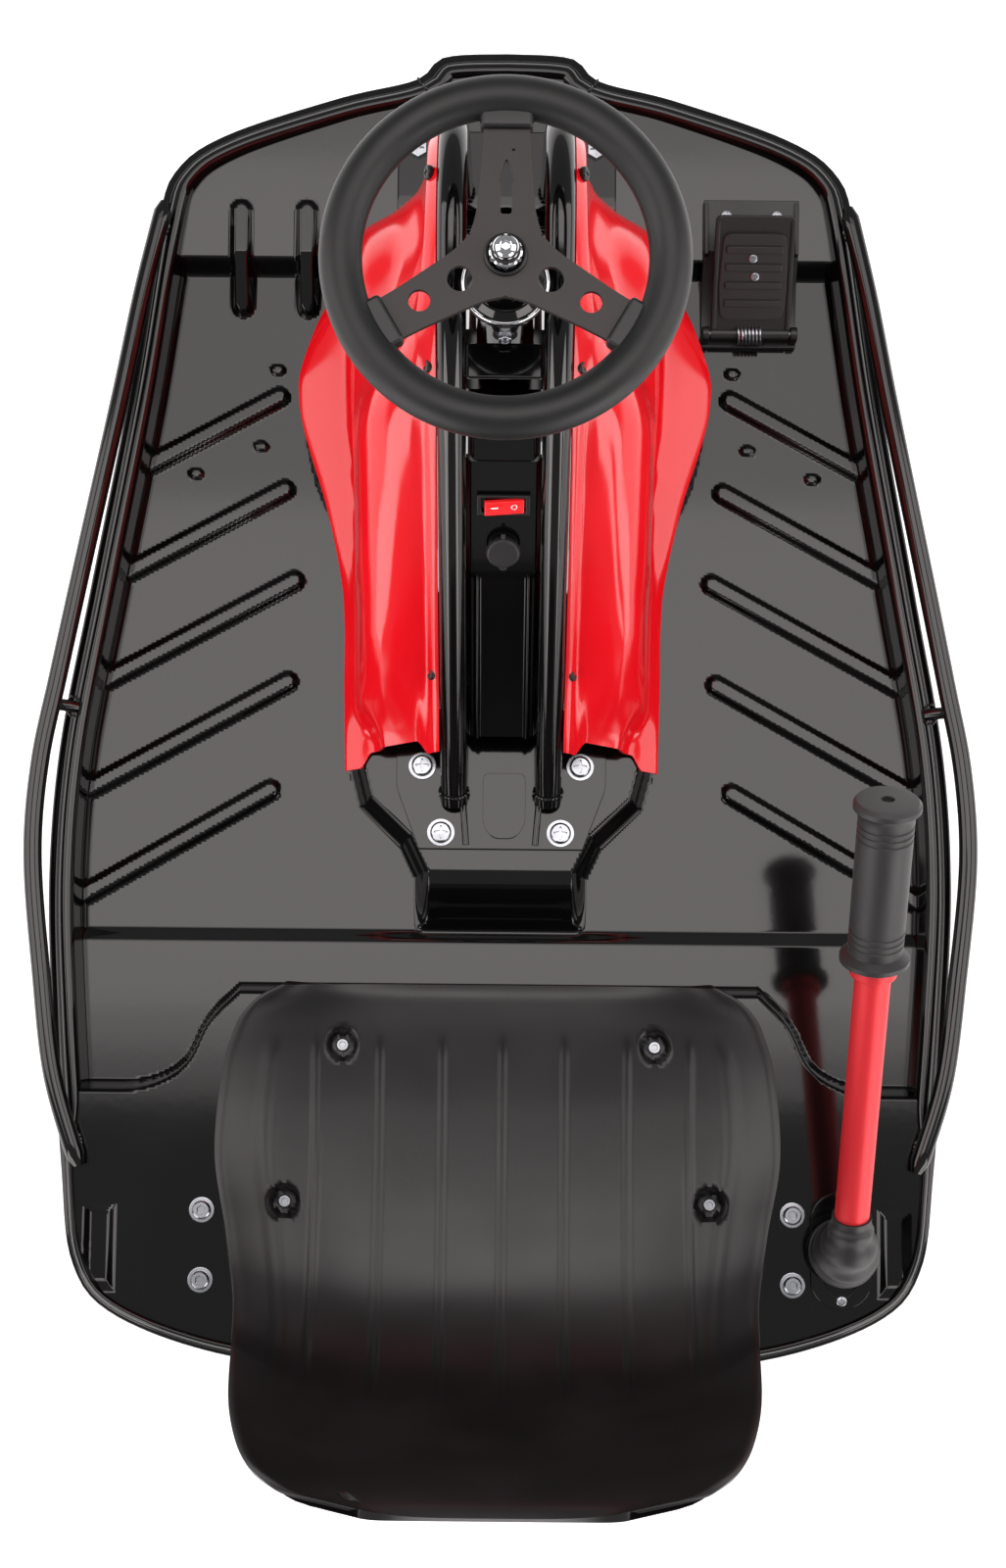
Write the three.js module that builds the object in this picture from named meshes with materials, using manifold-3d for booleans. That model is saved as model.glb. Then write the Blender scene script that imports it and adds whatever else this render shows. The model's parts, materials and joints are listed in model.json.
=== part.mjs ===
// A child's electric drift kart chassis: pressed steel pan, twin-tube steering arch, swivelling
// front drive wheel, and a lever that leans the two rear casters. Millimetres, +Z up, +Y forward.
import * as THREE from "three";
import { mergeVertices } from "three/addons/utils/BufferGeometryUtils.js";
import Module from "manifold-3d";

const wasm = await Module();
wasm.setup();

// ---------------------------------------------------------------- driving dimensions
const GAP = 0.3;
const SHEET = 2.5;

// The pan's outer edge, right half, from the middle of the nose round to the middle of the tail.
const PAN_EDGE = [
  [0, 494], [46, 491], [66, 474], [120, 460], [200, 432], [236, 406], [249, 366], [266, 243],
  [290, 100], [308, -10], [313, -103], [308, -200], [299, -300], [290, -365], [262, -400],
  [190, -426], [100, -436], [0, -438],
];
const RIM_TOP = 104;
const RIM_WIDTH = 20;
const REAR_RIM_WIDTH = 11;
const REAR_RIM_Y = [-250, -310];
const LIP_BOTTOM = 92;
const FLOOR = 64;
const MID_FLOOR = 70;
const DECK = 101.5;
const DECK_STEP_Y = -246;
const MID_STEP_Y = -140;
const TOE_STEP_Y = 338;
const TOE_LOW = 86;
const TOE_HIGH = 101;
const TOE_END_Y = 482;
const SPINE_TOP = 92;

const STEER_Y = 228;
const TUNNEL_RADIUS = 136;
const COLLAR_RADIUS = 145;

const ARCH_X = 32.5;
const ARCH_RADIUS = 9;
// The arch's side view, as [y, z], from its rear foot over the top to its front foot.
const ARCH_LINE = [
  [-48, 104], [0, 152], [60, 214], [128, 284], [180, 336], [228, 368], [285, 382], [330, 362],
  [352, 318], [364, 240], [377, 124],
];

const BUMPER_RADIUS = 6.4;
const BUMPER_Z = 110.8;
const BUMPER_LINE = [
  [242, 376], [256, 312], [268.5, 243], [295.5, 102], [308.5, 33], [318.5, -22], [322.1, -84],
  [313.5, -171], [304, -238], [291, -281], [284, -300],
];

const WHEEL_Z = 447;
const WHEEL_RADIUS = 94.5;
const WHEEL_RIM_RADIUS = 12.5;
const SPOKE_THICKNESS = 4;
const STEM_RADIUS = 10;
const HEAD_BOTTOM = 262;
const HEAD_TOP = 391;

const TYRE_RADIUS = 100;
const TYRE_HALF_WIDTH = 25;
const RIM_RADIUS = 64;
const AXLE_RADIUS = 6;
const LEG_X = 44;
const LEG_THICKNESS = 4;
const CROWN_BOTTOM = 222;
const CROWN_TOP = 236;
const MOTOR_Z = 182;
const MOTOR_RADIUS = 36;
const MOTOR_LENGTH = 55;
const SPROCKET_X = 31.6;
const SPROCKET_THICKNESS = 3;
const SPROCKET_RADIUS = 40;
const PINION_RADIUS = 13.7;

const BEAM_Y = -353;
const BEAM_Z = 84;
const BEAM_RADIUS = 11;
const BEAM_HALF = 262;
const BEARING_X = 201;
const CASTER_X = 150;
const CASTER_RADIUS = 29;
const CASTER_TRAIL = 20;
const CASTER_PLATE_TOP = 72.6;

const ANTI_TIP_X = 205;
const ANTI_TIP_Y = 285;
const ANTI_TIP_RADIUS = 20;
const ANTI_TIP_CLEARANCE = 4;
const ANTI_TIP_TRAIL = 13;

const LEVER_X = 234;
const LEVER_RADIUS = 11.5;
const LEVER_FOOT = [-353, 97];
const LEVER_BEND = [-352, 140];
const LEVER_RISE = THREE.MathUtils.degToRad(33.5);
const LEVER_LENGTH = 326;
const GRIP_LENGTH = 114;
const GRIP_RADIUS = 17.5;
const BOOT_RADIUS = 22.5;
const BOOT_TOP = 131;
const BOOT_NECK = 24;
const SLOT_HALF_WIDTH = 13.5;
const SLOT_SHIFT = -8.5;
const SLOT_STRETCH = 1.7;

const SEAT_FRONT_Y = -176;
const SEAT_BACK_Y = -494;
// Each pair of seat bolts as [x, y, underside of the head, height of the boss above that].
const SEAT_BOLTS = { front: [106, -217, 117, 3], rear: [143, -322, 122, 8] };

const PEDAL_X = 175;
const PEDAL_HALF = 28;
const PEDAL_HINGE = [293, 80];
const PEDAL_LENGTH = 86;
const PEDAL_ANGLE = THREE.MathUtils.degToRad(35);

const FOOT_BOLTS = [[55, -23], [41.5, -69.5]];

// ---------------------------------------------------------------- materials
function finish(color, roughness, metalness) {
  return new THREE.MeshStandardMaterial({ color, roughness, metalness });
}
const COLOR = {
  blackPaint: "#17171a",
  redPlastic: "#e8222c",
  redPaint: "#d81f28",
  blackPlastic: "#2b292c",
  blackFoam: "#262729",
  greyPlate: "#4a4a4c",
  chrome: "#c9ccd0",
  zinc: "#a9adb3",
  steel: "#7c8086",
  rubber: "#1c1c1e",
  tyre: "#202022",
  castGrey: "#5d6166",
  battery: "#3a3d44",
  switchRed: "#e01520",
};
const blackPaint = () => finish(COLOR.blackPaint, 0.18, 0.2);
const zinc = () => finish(COLOR.zinc, 0.35, 0.9);
const steel = () => finish(COLOR.steel, 0.4, 0.9);
const rubber = () => finish(COLOR.rubber, 0.8, 0);

// ---------------------------------------------------------------- solids
function solidOf(geometry) {
  const bare = geometry.index ? geometry.toNonIndexed() : geometry.clone();
  bare.deleteAttribute("normal");
  bare.deleteAttribute("uv");
  const merged = mergeVertices(bare, 1e-4);
  const mesh = new wasm.Mesh({
    numProp: 3,
    vertProperties: merged.attributes.position.array,
    triVerts: new Uint32Array(merged.index.array),
  });
  return new wasm.Manifold(mesh);
}

function geometryOf(solid) {
  const mesh = solid.getMesh();
  const geometry = new THREE.BufferGeometry();
  geometry.setAttribute("position", new THREE.BufferAttribute(mesh.vertProperties, 3));
  geometry.setIndex(new THREE.BufferAttribute(mesh.triVerts, 1));
  const flat = geometry.toNonIndexed();
  flat.computeVertexNormals();
  return flat;
}

function joined(...geometries) {
  return geometryOf(geometries.map(solidOf).reduce((a, b) => a.add(b)));
}

function cut(geometry, ...tools) {
  return geometryOf(tools.map(solidOf).reduce((a, b) => a.subtract(b), solidOf(geometry)));
}

function common(a, b) {
  return geometryOf(solidOf(a).intersect(solidOf(b)));
}

function box(x0, x1, y0, y1, z0, z1) {
  const geometry = new THREE.BoxGeometry(x1 - x0, y1 - y0, z1 - z0);
  return geometry.translate((x0 + x1) / 2, (y0 + y1) / 2, (z0 + z1) / 2);
}

function shapeOf(points) {
  return new THREE.Shape(points.map(([x, y]) => new THREE.Vector2(x, y)));
}

// A flat outline in plan, raised from z0 to z1.
function slab(points, z0, z1) {
  const geometry = new THREE.ExtrudeGeometry(shapeOf(points), { depth: z1 - z0, bevelEnabled: false });
  return geometry.translate(0, 0, z0);
}

// A side-view outline of [y, z] points, run across from x0 to x1.
function sideSlab(points, x0, x1) {
  const geometry = new THREE.ExtrudeGeometry(shapeOf(points), { depth: x1 - x0, bevelEnabled: false });
  const turn = new THREE.Matrix4().makeBasis(
    new THREE.Vector3(0, 1, 0),
    new THREE.Vector3(0, 0, 1),
    new THREE.Vector3(1, 0, 0),
  );
  return geometry.applyMatrix4(turn).translate(x0, 0, 0);
}

// A solid turned about Z from an [r, z] profile that closes on itself or on the axis.
function turned(profile, segments = 20) {
  return new THREE.LatheGeometry(profile.map(([r, z]) => new THREE.Vector2(r, z)), segments)
    .rotateX(Math.PI / 2);
}

// The same, turned about X from an [r, x] profile.
function turnedAcross(profile, segments = 20) {
  return turned(profile, segments).rotateY(Math.PI / 2);
}

function rod(radius, z0, z1, segments = 16) {
  return turned([[0, z0], [radius, z0], [radius, z1], [0, z1]], segments);
}

function rodAcross(radius, x0, x1, segments = 16) {
  return rod(radius, x0, x1, segments).rotateY(Math.PI / 2);
}

function pipe(outer, inner, z0, z1, segments = 20) {
  return turned([[inner, z0], [outer, z0], [outer, z1], [inner, z1], [inner, z0]], segments);
}

function circlePoints(radius, count) {
  const angle = (i) => (i / count) * Math.PI * 2;
  return Array.from({ length: count }, (_, i) => [radius * Math.cos(angle(i)), radius * Math.sin(angle(i))]);
}

function tubeAlong(points, radius, steps, sides = 10) {
  const curve = new THREE.CatmullRomCurve3(points.map((p) => new THREE.Vector3(...p)), false, "centripetal");
  const options = { steps, extrudePath: curve, bevelEnabled: false };
  return new THREE.ExtrudeGeometry(shapeOf(circlePoints(radius, sides)), options);
}

// A curved sheet of even thickness: top(u, v) gives its upper skin and push(u, v) the way inwards.
function sheetSolid(top, push, columns, rows) {
  const positions = [];
  const index = (layer, i, j) => layer * (columns + 1) * (rows + 1) + j * (columns + 1) + i;
  for (const layer of [0, 1]) {
    for (let j = 0; j <= rows; j += 1) {
      for (let i = 0; i <= columns; i += 1) {
        const point = top(i / columns, j / rows);
        if (layer === 1) point.add(push(i / columns, j / rows));
        positions.push(...point.toArray());
      }
    }
  }
  const faces = [];
  const quad = (a, b, c, d) => faces.push(a, b, c, a, c, d);
  for (let j = 0; j < rows; j += 1) {
    for (let i = 0; i < columns; i += 1) {
      quad(index(0, i, j), index(0, i + 1, j), index(0, i + 1, j + 1), index(0, i, j + 1));
      quad(index(1, i, j), index(1, i, j + 1), index(1, i + 1, j + 1), index(1, i + 1, j));
    }
  }
  for (let i = 0; i < columns; i += 1) {
    quad(index(0, i, 0), index(1, i, 0), index(1, i + 1, 0), index(0, i + 1, 0));
    quad(index(0, i + 1, rows), index(1, i + 1, rows), index(1, i, rows), index(0, i, rows));
  }
  for (let j = 0; j < rows; j += 1) {
    quad(index(0, 0, j + 1), index(1, 0, j + 1), index(1, 0, j), index(0, 0, j));
    quad(index(0, columns, j), index(1, columns, j), index(1, columns, j + 1), index(0, columns, j + 1));
  }
  const geometry = new THREE.BufferGeometry();
  geometry.setAttribute("position", new THREE.Float32BufferAttribute(positions, 3));
  geometry.setIndex(faces);
  geometry.computeVertexNormals();
  return geometry;
}

function mirrored(geometry) {
  const copy = geometry.index ? geometry.toNonIndexed() : geometry.clone();
  copy.scale(-1, 1, 1);
  const position = copy.attributes.position;
  for (let i = 0; i < position.count; i += 3) {
    const first = [position.getX(i), position.getY(i), position.getZ(i)];
    position.setXYZ(i, position.getX(i + 1), position.getY(i + 1), position.getZ(i + 1));
    position.setXYZ(i + 1, ...first);
  }
  copy.computeVertexNormals();
  return copy;
}

const kart = new THREE.Group();

function add(name, geometry, material, parent = kart) {
  const mesh = new THREE.Mesh(geometry, material);
  mesh.name = name;
  parent.add(mesh);
  return mesh;
}

// Adds NAME_right as given and NAME_left as its mirror image.
function addPair(name, geometry, material) {
  add(`${name}_right`, geometry, material());
  add(`${name}_left`, mirrored(geometry), material());
}

// ---------------------------------------------------------------- pan
const PAN_EDGE_STEPS = 34;

// How far the inner wall stands in from the edge: less round the tail than along the sides.
function rimWidthAt(y) {
  const share = THREE.MathUtils.smoothstep(-y, -REAR_RIM_Y[0], -REAR_RIM_Y[1]);
  return THREE.MathUtils.lerp(RIM_WIDTH, REAR_RIM_WIDTH, share);
}

// The whole pan outline, anticlockwise, drawn in by insetAt(y).
function panOutline(insetAt) {
  const curve = new THREE.SplineCurve(PAN_EDGE.map(([x, y]) => new THREE.Vector2(x, y)));
  const half = curve.getSpacedPoints(PAN_EDGE_STEPS);
  const right = half.map((point, i) => {
    const along = curve.getTangentAt(i / PAN_EDGE_STEPS);
    const inset = insetAt(point.y);
    return [point.x + along.y * inset, point.y - along.x * inset];
  });
  right[0][0] = 0;
  right[PAN_EDGE_STEPS][0] = 0;
  const left = right.slice(1, -1).map(([x, y]) => [-x, y]);
  return [...right.reverse(), ...left];
}

function mirrorOutline(right) {
  return [...right, ...[...right].reverse().map(([x, y]) => [-x, y])];
}

function deckOutline(inset) {
  return mirrorOutline([
    [340, -470],
    [340, DECK_STEP_Y - inset],
    [240, DECK_STEP_Y - inset],
    [215 - inset * 0.7, -232 - inset * 0.7],
    [203 - inset, -200 - inset * 0.5],
    [180 - inset, -178 - inset],
  ]);
}

function spineOutline(inset) {
  return mirrorOutline([
    [52 - inset, -128 + inset],
    [52 - inset, -97],
    [64 - inset, -72],
    [92 - inset, -45],
    [100 - inset, -10],
    [96 - inset, 60],
    [104 - inset, 150],
  ]);
}

// The oblong hole that lets the lever swing back, about the lever's own place.
function slotOutline() {
  return circlePoints(SLOT_HALF_WIDTH, 16).map(([x, y]) => [x, y * SLOT_STRETCH + SLOT_SHIFT]);
}

function framePan() {
  const outerEdge = panOutline(() => 0);
  const lipInside = panOutline(() => SHEET);
  const wallOutside = panOutline((y) => rimWidthAt(y) - SHEET);
  const wallInside = panOutline(rimWidthAt);
  const rimHollow = slab(lipInside, LIP_BOTTOM - 1, RIM_TOP - SHEET);
  const lip = cut(slab(outerEdge, LIP_BOTTOM, RIM_TOP), rimHollow);
  const wall = slab(wallOutside, FLOOR - SHEET, RIM_TOP);
  const rim = cut(joined(lip, wall), slab(wallInside, FLOOR - SHEET - 1, RIM_TOP + 1));

  const top = [
    [DECK_STEP_Y - 60, MID_FLOOR], [MID_STEP_Y - 4, MID_FLOOR], [MID_STEP_Y + 4, FLOOR],
    [TOE_STEP_Y, FLOOR], [TOE_STEP_Y + 10, TOE_LOW], [TOE_END_Y, TOE_HIGH],
  ];
  const under = [...top].reverse().map(([y, z]) => [y, z - SHEET]);
  const floorSheet = sideSlab([...top, ...under].reverse(), -330, 330);
  const deck = slab(deckOutline(0), FLOOR - SHEET, DECK);
  const spine = slab(spineOutline(0), FLOOR - SHEET, SPINE_TOP);
  const collar = rod(COLLAR_RADIUS, FLOOR - SHEET, SPINE_TOP, 40).translate(0, STEER_Y, 0);
  const within = slab(wallOutside, FLOOR - SHEET, RIM_TOP);
  const pressings = common(joined(floorSheet, deck, spine, collar), within);

  const underside = slab(lipInside, 0, DECK - SHEET);
  const deckHollow = common(slab(deckOutline(SHEET), 0, DECK - SHEET), underside);
  const spineHollow = slab(spineOutline(SHEET), 0, SPINE_TOP - SHEET);
  const tunnel = rod(TUNNEL_RADIUS, 0, 200, 40).translate(0, STEER_Y, 0);
  const leverSlot = slab(slotOutline(), 60, 120).translate(LEVER_X, BEAM_Y, 0);
  const batteryWell = box(-84, 84, 18, 92, SPINE_TOP - SHEET - 1, SPINE_TOP + 1);
  return cut(joined(rim, pressings), deckHollow, spineHollow, tunnel, leverSlot, batteryWell);
}
add("frame_pan", framePan(), blackPaint());

const bumperLine = BUMPER_LINE.map(([x, y]) => [x, y, BUMPER_Z]);
addPair("bumper_tube", tubeAlong(bumperLine, BUMPER_RADIUS, 26, 8), blackPaint);

// ---------------------------------------------------------------- steering arch
const archCurve = new THREE.CatmullRomCurve3(
  ARCH_LINE.map(([y, z]) => new THREE.Vector3(0, y, z)),
  false,
  "centripetal",
);
const archLine = ARCH_LINE.map(([y, z]) => [ARCH_X, y, z]);
addPair("arch_tube", tubeAlong(archLine, ARCH_RADIUS, 30, 8), blackPaint);

function footPlate() {
  const outline = mirrorOutline([[57, -81], [73, -38], [73, -2]]);
  const holes = FOOT_BOLTS.flatMap(([x, y]) => [
    rod(3.2, 80, 120, 12).translate(x, y, 0),
    rod(3.2, 80, 120, 12).translate(-x, y, 0),
  ]);
  return cut(slab(outline, SPINE_TOP + GAP, SPINE_TOP + GAP + 3), ...holes);
}
add("arch_foot_plate", footPlate(), blackPaint());

const TOE_SLOPE = (TOE_HIGH - TOE_LOW) / (TOE_END_Y - TOE_STEP_Y - 10);
const toeHeight = (y) => TOE_LOW + (y - TOE_STEP_Y - 10) * TOE_SLOPE;

function frontBracket() {
  const [rear, front] = [376, 434];
  const outline = [
    [rear, toeHeight(rear) + 4.5],
    [front, toeHeight(front) + 1],
    [front, toeHeight(front) + 4.5],
    [386, toeHeight(386) + 11],
    [rear, toeHeight(rear) + 11],
  ];
  const collarClear = rod(COLLAR_RADIUS + 4, 60, 130, 40).translate(0, STEER_Y, 0);
  return cut(sideSlab(outline, -78, 78), collarClear);
}
add("arch_front_bracket", frontBracket(), blackPaint());

const headTube = pipe(18, 14, HEAD_BOTTOM, HEAD_TOP).translate(0, STEER_Y, 0);
add("head_tube", headTube, blackPaint());

const upperCup = turned([
  [STEM_RADIUS + 0.4, HEAD_TOP + GAP], [26, HEAD_TOP + GAP], [26, HEAD_TOP + 6],
  [20, HEAD_TOP + 13], [STEM_RADIUS + 0.4, HEAD_TOP + 13], [STEM_RADIUS + 0.4, HEAD_TOP + GAP],
]).translate(0, STEER_Y, 0);
add("head_bearing_upper", upperCup, finish(COLOR.chrome, 0.1, 1));
const lowerCup = pipe(19, STEM_RADIUS + 0.4, HEAD_BOTTOM - 12, HEAD_BOTTOM - GAP).translate(0, STEER_Y, 0);
add("head_bearing_lower", lowerCup, steel());

const headGusset = box(-23, 23, 186, 208, 338, 342);
add("head_gusset", headGusset, blackPaint());

// ---------------------------------------------------------------- fairings and centre cover
const FAIRING_TOP_X = 42.2;
const FAIRING_BOTTOM_Z = 93;
// The fairing's lower edge in plan, from its tail round the drum to its nose.
const FAIRING_EDGE = [
  [109, -17], [110.5, 30], [111, 76], [114, 110], [125, 160], [141, 212], [146, 240], [144, 264],
  [127, 308], [99, 342], [64, 365], [44, 372],
];
const FAIRING_THICKNESS = 2.4;

function fairing() {
  const edge = new THREE.SplineCurve(FAIRING_EDGE.map(([x, y]) => new THREE.Vector2(x, y)));
  const top = (u, v) => {
    const start = archCurve.getPointAt(0.075 + v * 0.875);
    const end = edge.getPoint(v);
    const across = Math.sin((u * Math.PI) / 2) ** 0.85;
    const down = 1 - Math.cos((u * Math.PI) / 2) ** 0.75;
    const point = new THREE.Vector3(FAIRING_TOP_X, start.y, start.z);
    return point.lerp(new THREE.Vector3(end.x, end.y, start.z), across)
      .setZ(start.z + (FAIRING_BOTTOM_Z - start.z) * down);
  };
  const inward = (u, v) => {
    const h = 0.01;
    const [u0, u1] = [Math.max(0, u - h), Math.min(1, u + h)];
    const [v0, v1] = [Math.max(0, v - h), Math.min(1, v + h)];
    const across = top(u1, v).sub(top(u0, v));
    const along = top(u, v1).sub(top(u, v0));
    const normal = along.cross(across).normalize();
    if (u === 0) normal.setX(0).normalize();
    if (u === 1) normal.setZ(0).normalize();
    return normal.multiplyScalar(FAIRING_THICKNESS);
  };
  return sheetSolid(top, inward, 8, 16);
}
addPair("fairing", fairing(), () => finish(COLOR.redPlastic, 0.15, 0));

// A strip between the tubes, following the arch a little below its centreline.
const COVER_START = 0.07;
const COVER_END = 0.37;
const COVER_DROP = 3;
const COVER_THICKNESS = 3;

function archOffset(t, drop) {
  const point = archCurve.getPointAt(t);
  const along = archCurve.getTangentAt(t);
  return [point.y + along.z * drop, point.z - along.y * drop];
}

function centreCover() {
  const steps = 10;
  const at = (i) => COVER_START + ((COVER_END - COVER_START) * i) / steps;
  const upper = Array.from({ length: steps + 1 }, (_, i) => archOffset(at(i), COVER_DROP));
  const lower = Array.from({ length: steps + 1 }, (_, i) => archOffset(at(i), COVER_DROP + COVER_THICKNESS));
  return sideSlab([...lower, ...upper.reverse()], -22.5, 22.5);
}
add("centre_cover", centreCover(), blackPaint());

// Places a group on the cover's outer face, with local +Z out of the face and +Y up the slope.
function onCover(t) {
  const holder = new THREE.Group();
  const [y, z] = archOffset(t, COVER_DROP);
  const along = archCurve.getTangentAt(t);
  holder.position.set(0, y, z);
  holder.rotation.x = Math.atan2(along.z, along.y);
  kart.add(holder);
  return holder;
}

const switchPlace = onCover(0.328);
const switchFrame = cut(box(-17, 17, -7.5, 7.5, 0.5, 3.5), box(-14, 14, -5.3, 5.3, 0, 5));
add("switch_frame", switchFrame, finish(COLOR.blackPlastic, 0.4, 0), switchPlace);
const ROCKER_TILT = THREE.MathUtils.degToRad(8);
const rocker = sideSlab([[-4.8, 1.4], [4.8, 1.4], [4.8, 5.2], [0, 4.2], [-4.8, 5.2]], -12.6, 12.6);
rocker.rotateY(ROCKER_TILT).translate(0, 0, 1.2);
add("rocker_button", rocker, finish(COLOR.switchRed, 0.25, 0), switchPlace);

const portPlace = onCover(0.283);
add("charger_socket", pipe(9.5, 6, 0.5, 5), finish(COLOR.blackPlastic, 0.5, 0), portPlace);
const capBody = joined(rod(11, 5.4, 9.4, 24), box(-3.5, 3.5, 9, 14, 5.4, 7.4));
add("charger_cap", capBody, rubber(), portPlace);

// ---------------------------------------------------------------- batteries and controller
addPair("battery", box(2, 80, 22, 90, FLOOR + GAP, FLOOR + GAP + 86), () => finish(COLOR.battery, 0.6, 0));
add("speed_controller", box(-76, -46, 46, 88, 151, 171), finish(COLOR.castGrey, 0.4, 0.7));

// ---------------------------------------------------------------- steering wheel and stem
const steerPlace = new THREE.Group();
steerPlace.position.set(0, STEER_Y, 0);
kart.add(steerPlace);

const rimRing = new THREE.TorusGeometry(WHEEL_RADIUS, WHEEL_RIM_RADIUS, 8, 36).translate(0, 0, WHEEL_Z);
add("steering_wheel_rim", rimRing, finish(COLOR.blackFoam, 0.85, 0), steerPlace);

function wheelPlate() {
  const z0 = WHEEL_Z - SPOKE_THICKNESS / 2;
  const z1 = WHEEL_Z + SPOKE_THICKNESS / 2;
  const spoke = slab([[-17, -4], [17, -4], [13, 50], [14, 80.5], [-14, 80.5], [-13, 50]], z0, z1);
  const spokes = [0, 120, 240].map((turn) => spoke.clone().rotateZ(THREE.MathUtils.degToRad(turn)));
  const hub = rod(27, z0, z1, 24);
  const sideHoles = [-1, 1].flatMap((side) => [
    rod(7.4, z0 - 1, z1 + 1, 12).translate(side * 26, -14, 0),
    rod(6.4, z0 - 1, z1 + 1, 12).translate(side * 49, -27, 0),
  ]);
  const slot = box(-3.5, 3.5, 36, 60, z0 - 1, z1 + 1);
  return cut(joined(hub, ...spokes), rod(STEM_RADIUS + GAP, z0 - 1, z1 + 1), ...sideHoles, slot);
}
add("steering_wheel_plate", wheelPlate(), finish(COLOR.greyPlate, 0.5, 0.6), steerPlace);
const stem = rod(STEM_RADIUS, CROWN_BOTTOM + 2, 452);
add("steering_stem", stem, finish(COLOR.chrome, 0.12, 1), steerPlace);
const nut = turned([[0, 452.4], [10.6, 452.4], [10.6, 455.4], [8.4, 457], [8.4, 463], [5, 467], [0, 468]], 16);
add("hub_nut", nut, finish(COLOR.chrome, 0.1, 1), steerPlace);

// ---------------------------------------------------------------- drive unit
function driveFork() {
  const crown = box(-LEG_X - LEG_THICKNESS, LEG_X + LEG_THICKNESS, -20, 20, CROWN_BOTTOM, CROWN_TOP);
  const leg = joined(
    box(LEG_X, LEG_X + LEG_THICKNESS, -17, 17, 100, CROWN_BOTTOM + 1),
    rodAcross(17, LEG_X, LEG_X + LEG_THICKNESS).translate(0, 0, TYRE_RADIUS),
  );
  const motorPlate = rodAcross(MOTOR_RADIUS, LEG_X, LEG_X + LEG_THICKNESS, 24).translate(0, 0, MOTOR_Z);
  const body = joined(crown, leg, mirrored(leg), motorPlate);
  return cut(
    body,
    rodAcross(AXLE_RADIUS + GAP, -60, 60).translate(0, 0, TYRE_RADIUS),
    rodAcross(6, 40, 60).translate(0, 0, MOTOR_Z),
    rod(STEM_RADIUS + GAP, CROWN_BOTTOM - 1, CROWN_TOP + 1),
  );
}
add("drive_fork", driveFork(), blackPaint(), steerPlace);

const MOTOR_FACE = LEG_X + LEG_THICKNESS + GAP;
const motor = turnedAcross([
  [0, MOTOR_FACE], [MOTOR_RADIUS, MOTOR_FACE], [MOTOR_RADIUS, MOTOR_FACE + 6],
  [MOTOR_RADIUS - 2, MOTOR_FACE + 7], [MOTOR_RADIUS - 2, MOTOR_FACE + MOTOR_LENGTH - 8],
  [MOTOR_RADIUS - 8, MOTOR_FACE + MOTOR_LENGTH], [0, MOTOR_FACE + MOTOR_LENGTH],
]).translate(0, 0, MOTOR_Z);
add("drive_motor", motor, finish(COLOR.castGrey, 0.45, 0.7), steerPlace);

const axleEnd = LEG_X + LEG_THICKNESS + 0.5;
const axle = turnedAcross([
  [0, -axleEnd - 8], [10, -axleEnd - 8], [10, -axleEnd], [AXLE_RADIUS, -axleEnd],
  [AXLE_RADIUS, axleEnd], [10, axleEnd], [10, axleEnd + 8], [0, axleEnd + 8],
], 16).translate(0, 0, TYRE_RADIUS);
add("drive_axle", axle, zinc(), steerPlace);

// The loop round two sprockets, radius r0 at z = 0 and r1 at z = height, in the Y-Z plane.
function chainLoop(r0, r1, height) {
  const lean = Math.asin((r0 - r1) / height);
  const arc = (r, z, from, to) => Array.from({ length: 13 }, (_, i) => {
    const a = from + ((to - from) * i) / 12;
    return [r * Math.cos(a), z + r * Math.sin(a)];
  });
  return [...arc(r0, 0, Math.PI - lean, Math.PI * 2 + lean), ...arc(r1, height, lean, Math.PI - lean)];
}

function chain() {
  const height = MOTOR_Z - TYRE_RADIUS;
  const outer = sideSlab(chainLoop(SPROCKET_RADIUS + 5, PINION_RADIUS + 5, height), 0, SPROCKET_THICKNESS);
  const inner = sideSlab(chainLoop(SPROCKET_RADIUS + 1, PINION_RADIUS + 1, height), -1, 5);
  return cut(outer, inner).translate(SPROCKET_X, 0, TYRE_RADIUS);
}
add("drive_chain", chain(), steel(), steerPlace);

const pinion = turnedAcross([
  [0, 29], [4, 29], [4, SPROCKET_X], [PINION_RADIUS, SPROCKET_X],
  [PINION_RADIUS, SPROCKET_X + SPROCKET_THICKNESS], [4, SPROCKET_X + SPROCKET_THICKNESS],
  [4, MOTOR_FACE - 0.5], [0, MOTOR_FACE - 0.5],
], 22).translate(0, 0, MOTOR_Z);
add("motor_sprocket", pinion, steel(), steerPlace);

const BORE = AXLE_RADIUS + 0.4;
const tyre = turnedAcross([
  [RIM_RADIUS + GAP, -18], [72, -21], [84, -TYRE_HALF_WIDTH], [95, -19], [TYRE_RADIUS, -8],
  [TYRE_RADIUS, 8], [95, 19], [84, TYRE_HALF_WIDTH], [72, 21], [RIM_RADIUS + GAP, 18],
  [RIM_RADIUS + GAP, -18],
], 24).translate(0, 0, TYRE_RADIUS);
add("drive_tyre", tyre, finish(COLOR.tyre, 0.9, 0), steerPlace);
const rim = turnedAcross([
  [BORE, -40], [15, -40], [15, -6], [54, -6], [RIM_RADIUS, -18], [RIM_RADIUS, 18], [54, 6],
  [20, 6], [20, SPROCKET_X - GAP], [BORE, SPROCKET_X - GAP], [BORE, -40],
], 24).translate(0, 0, TYRE_RADIUS);
add("drive_rim", rim, blackPaint(), steerPlace);
const sprocket = turnedAcross([
  [BORE, SPROCKET_X], [SPROCKET_RADIUS, SPROCKET_X],
  [SPROCKET_RADIUS, SPROCKET_X + SPROCKET_THICKNESS],
  [BORE, SPROCKET_X + SPROCKET_THICKNESS], [BORE, SPROCKET_X],
], 24).translate(0, 0, TYRE_RADIUS);
add("drive_sprocket", sprocket, steel(), steerPlace);

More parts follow.
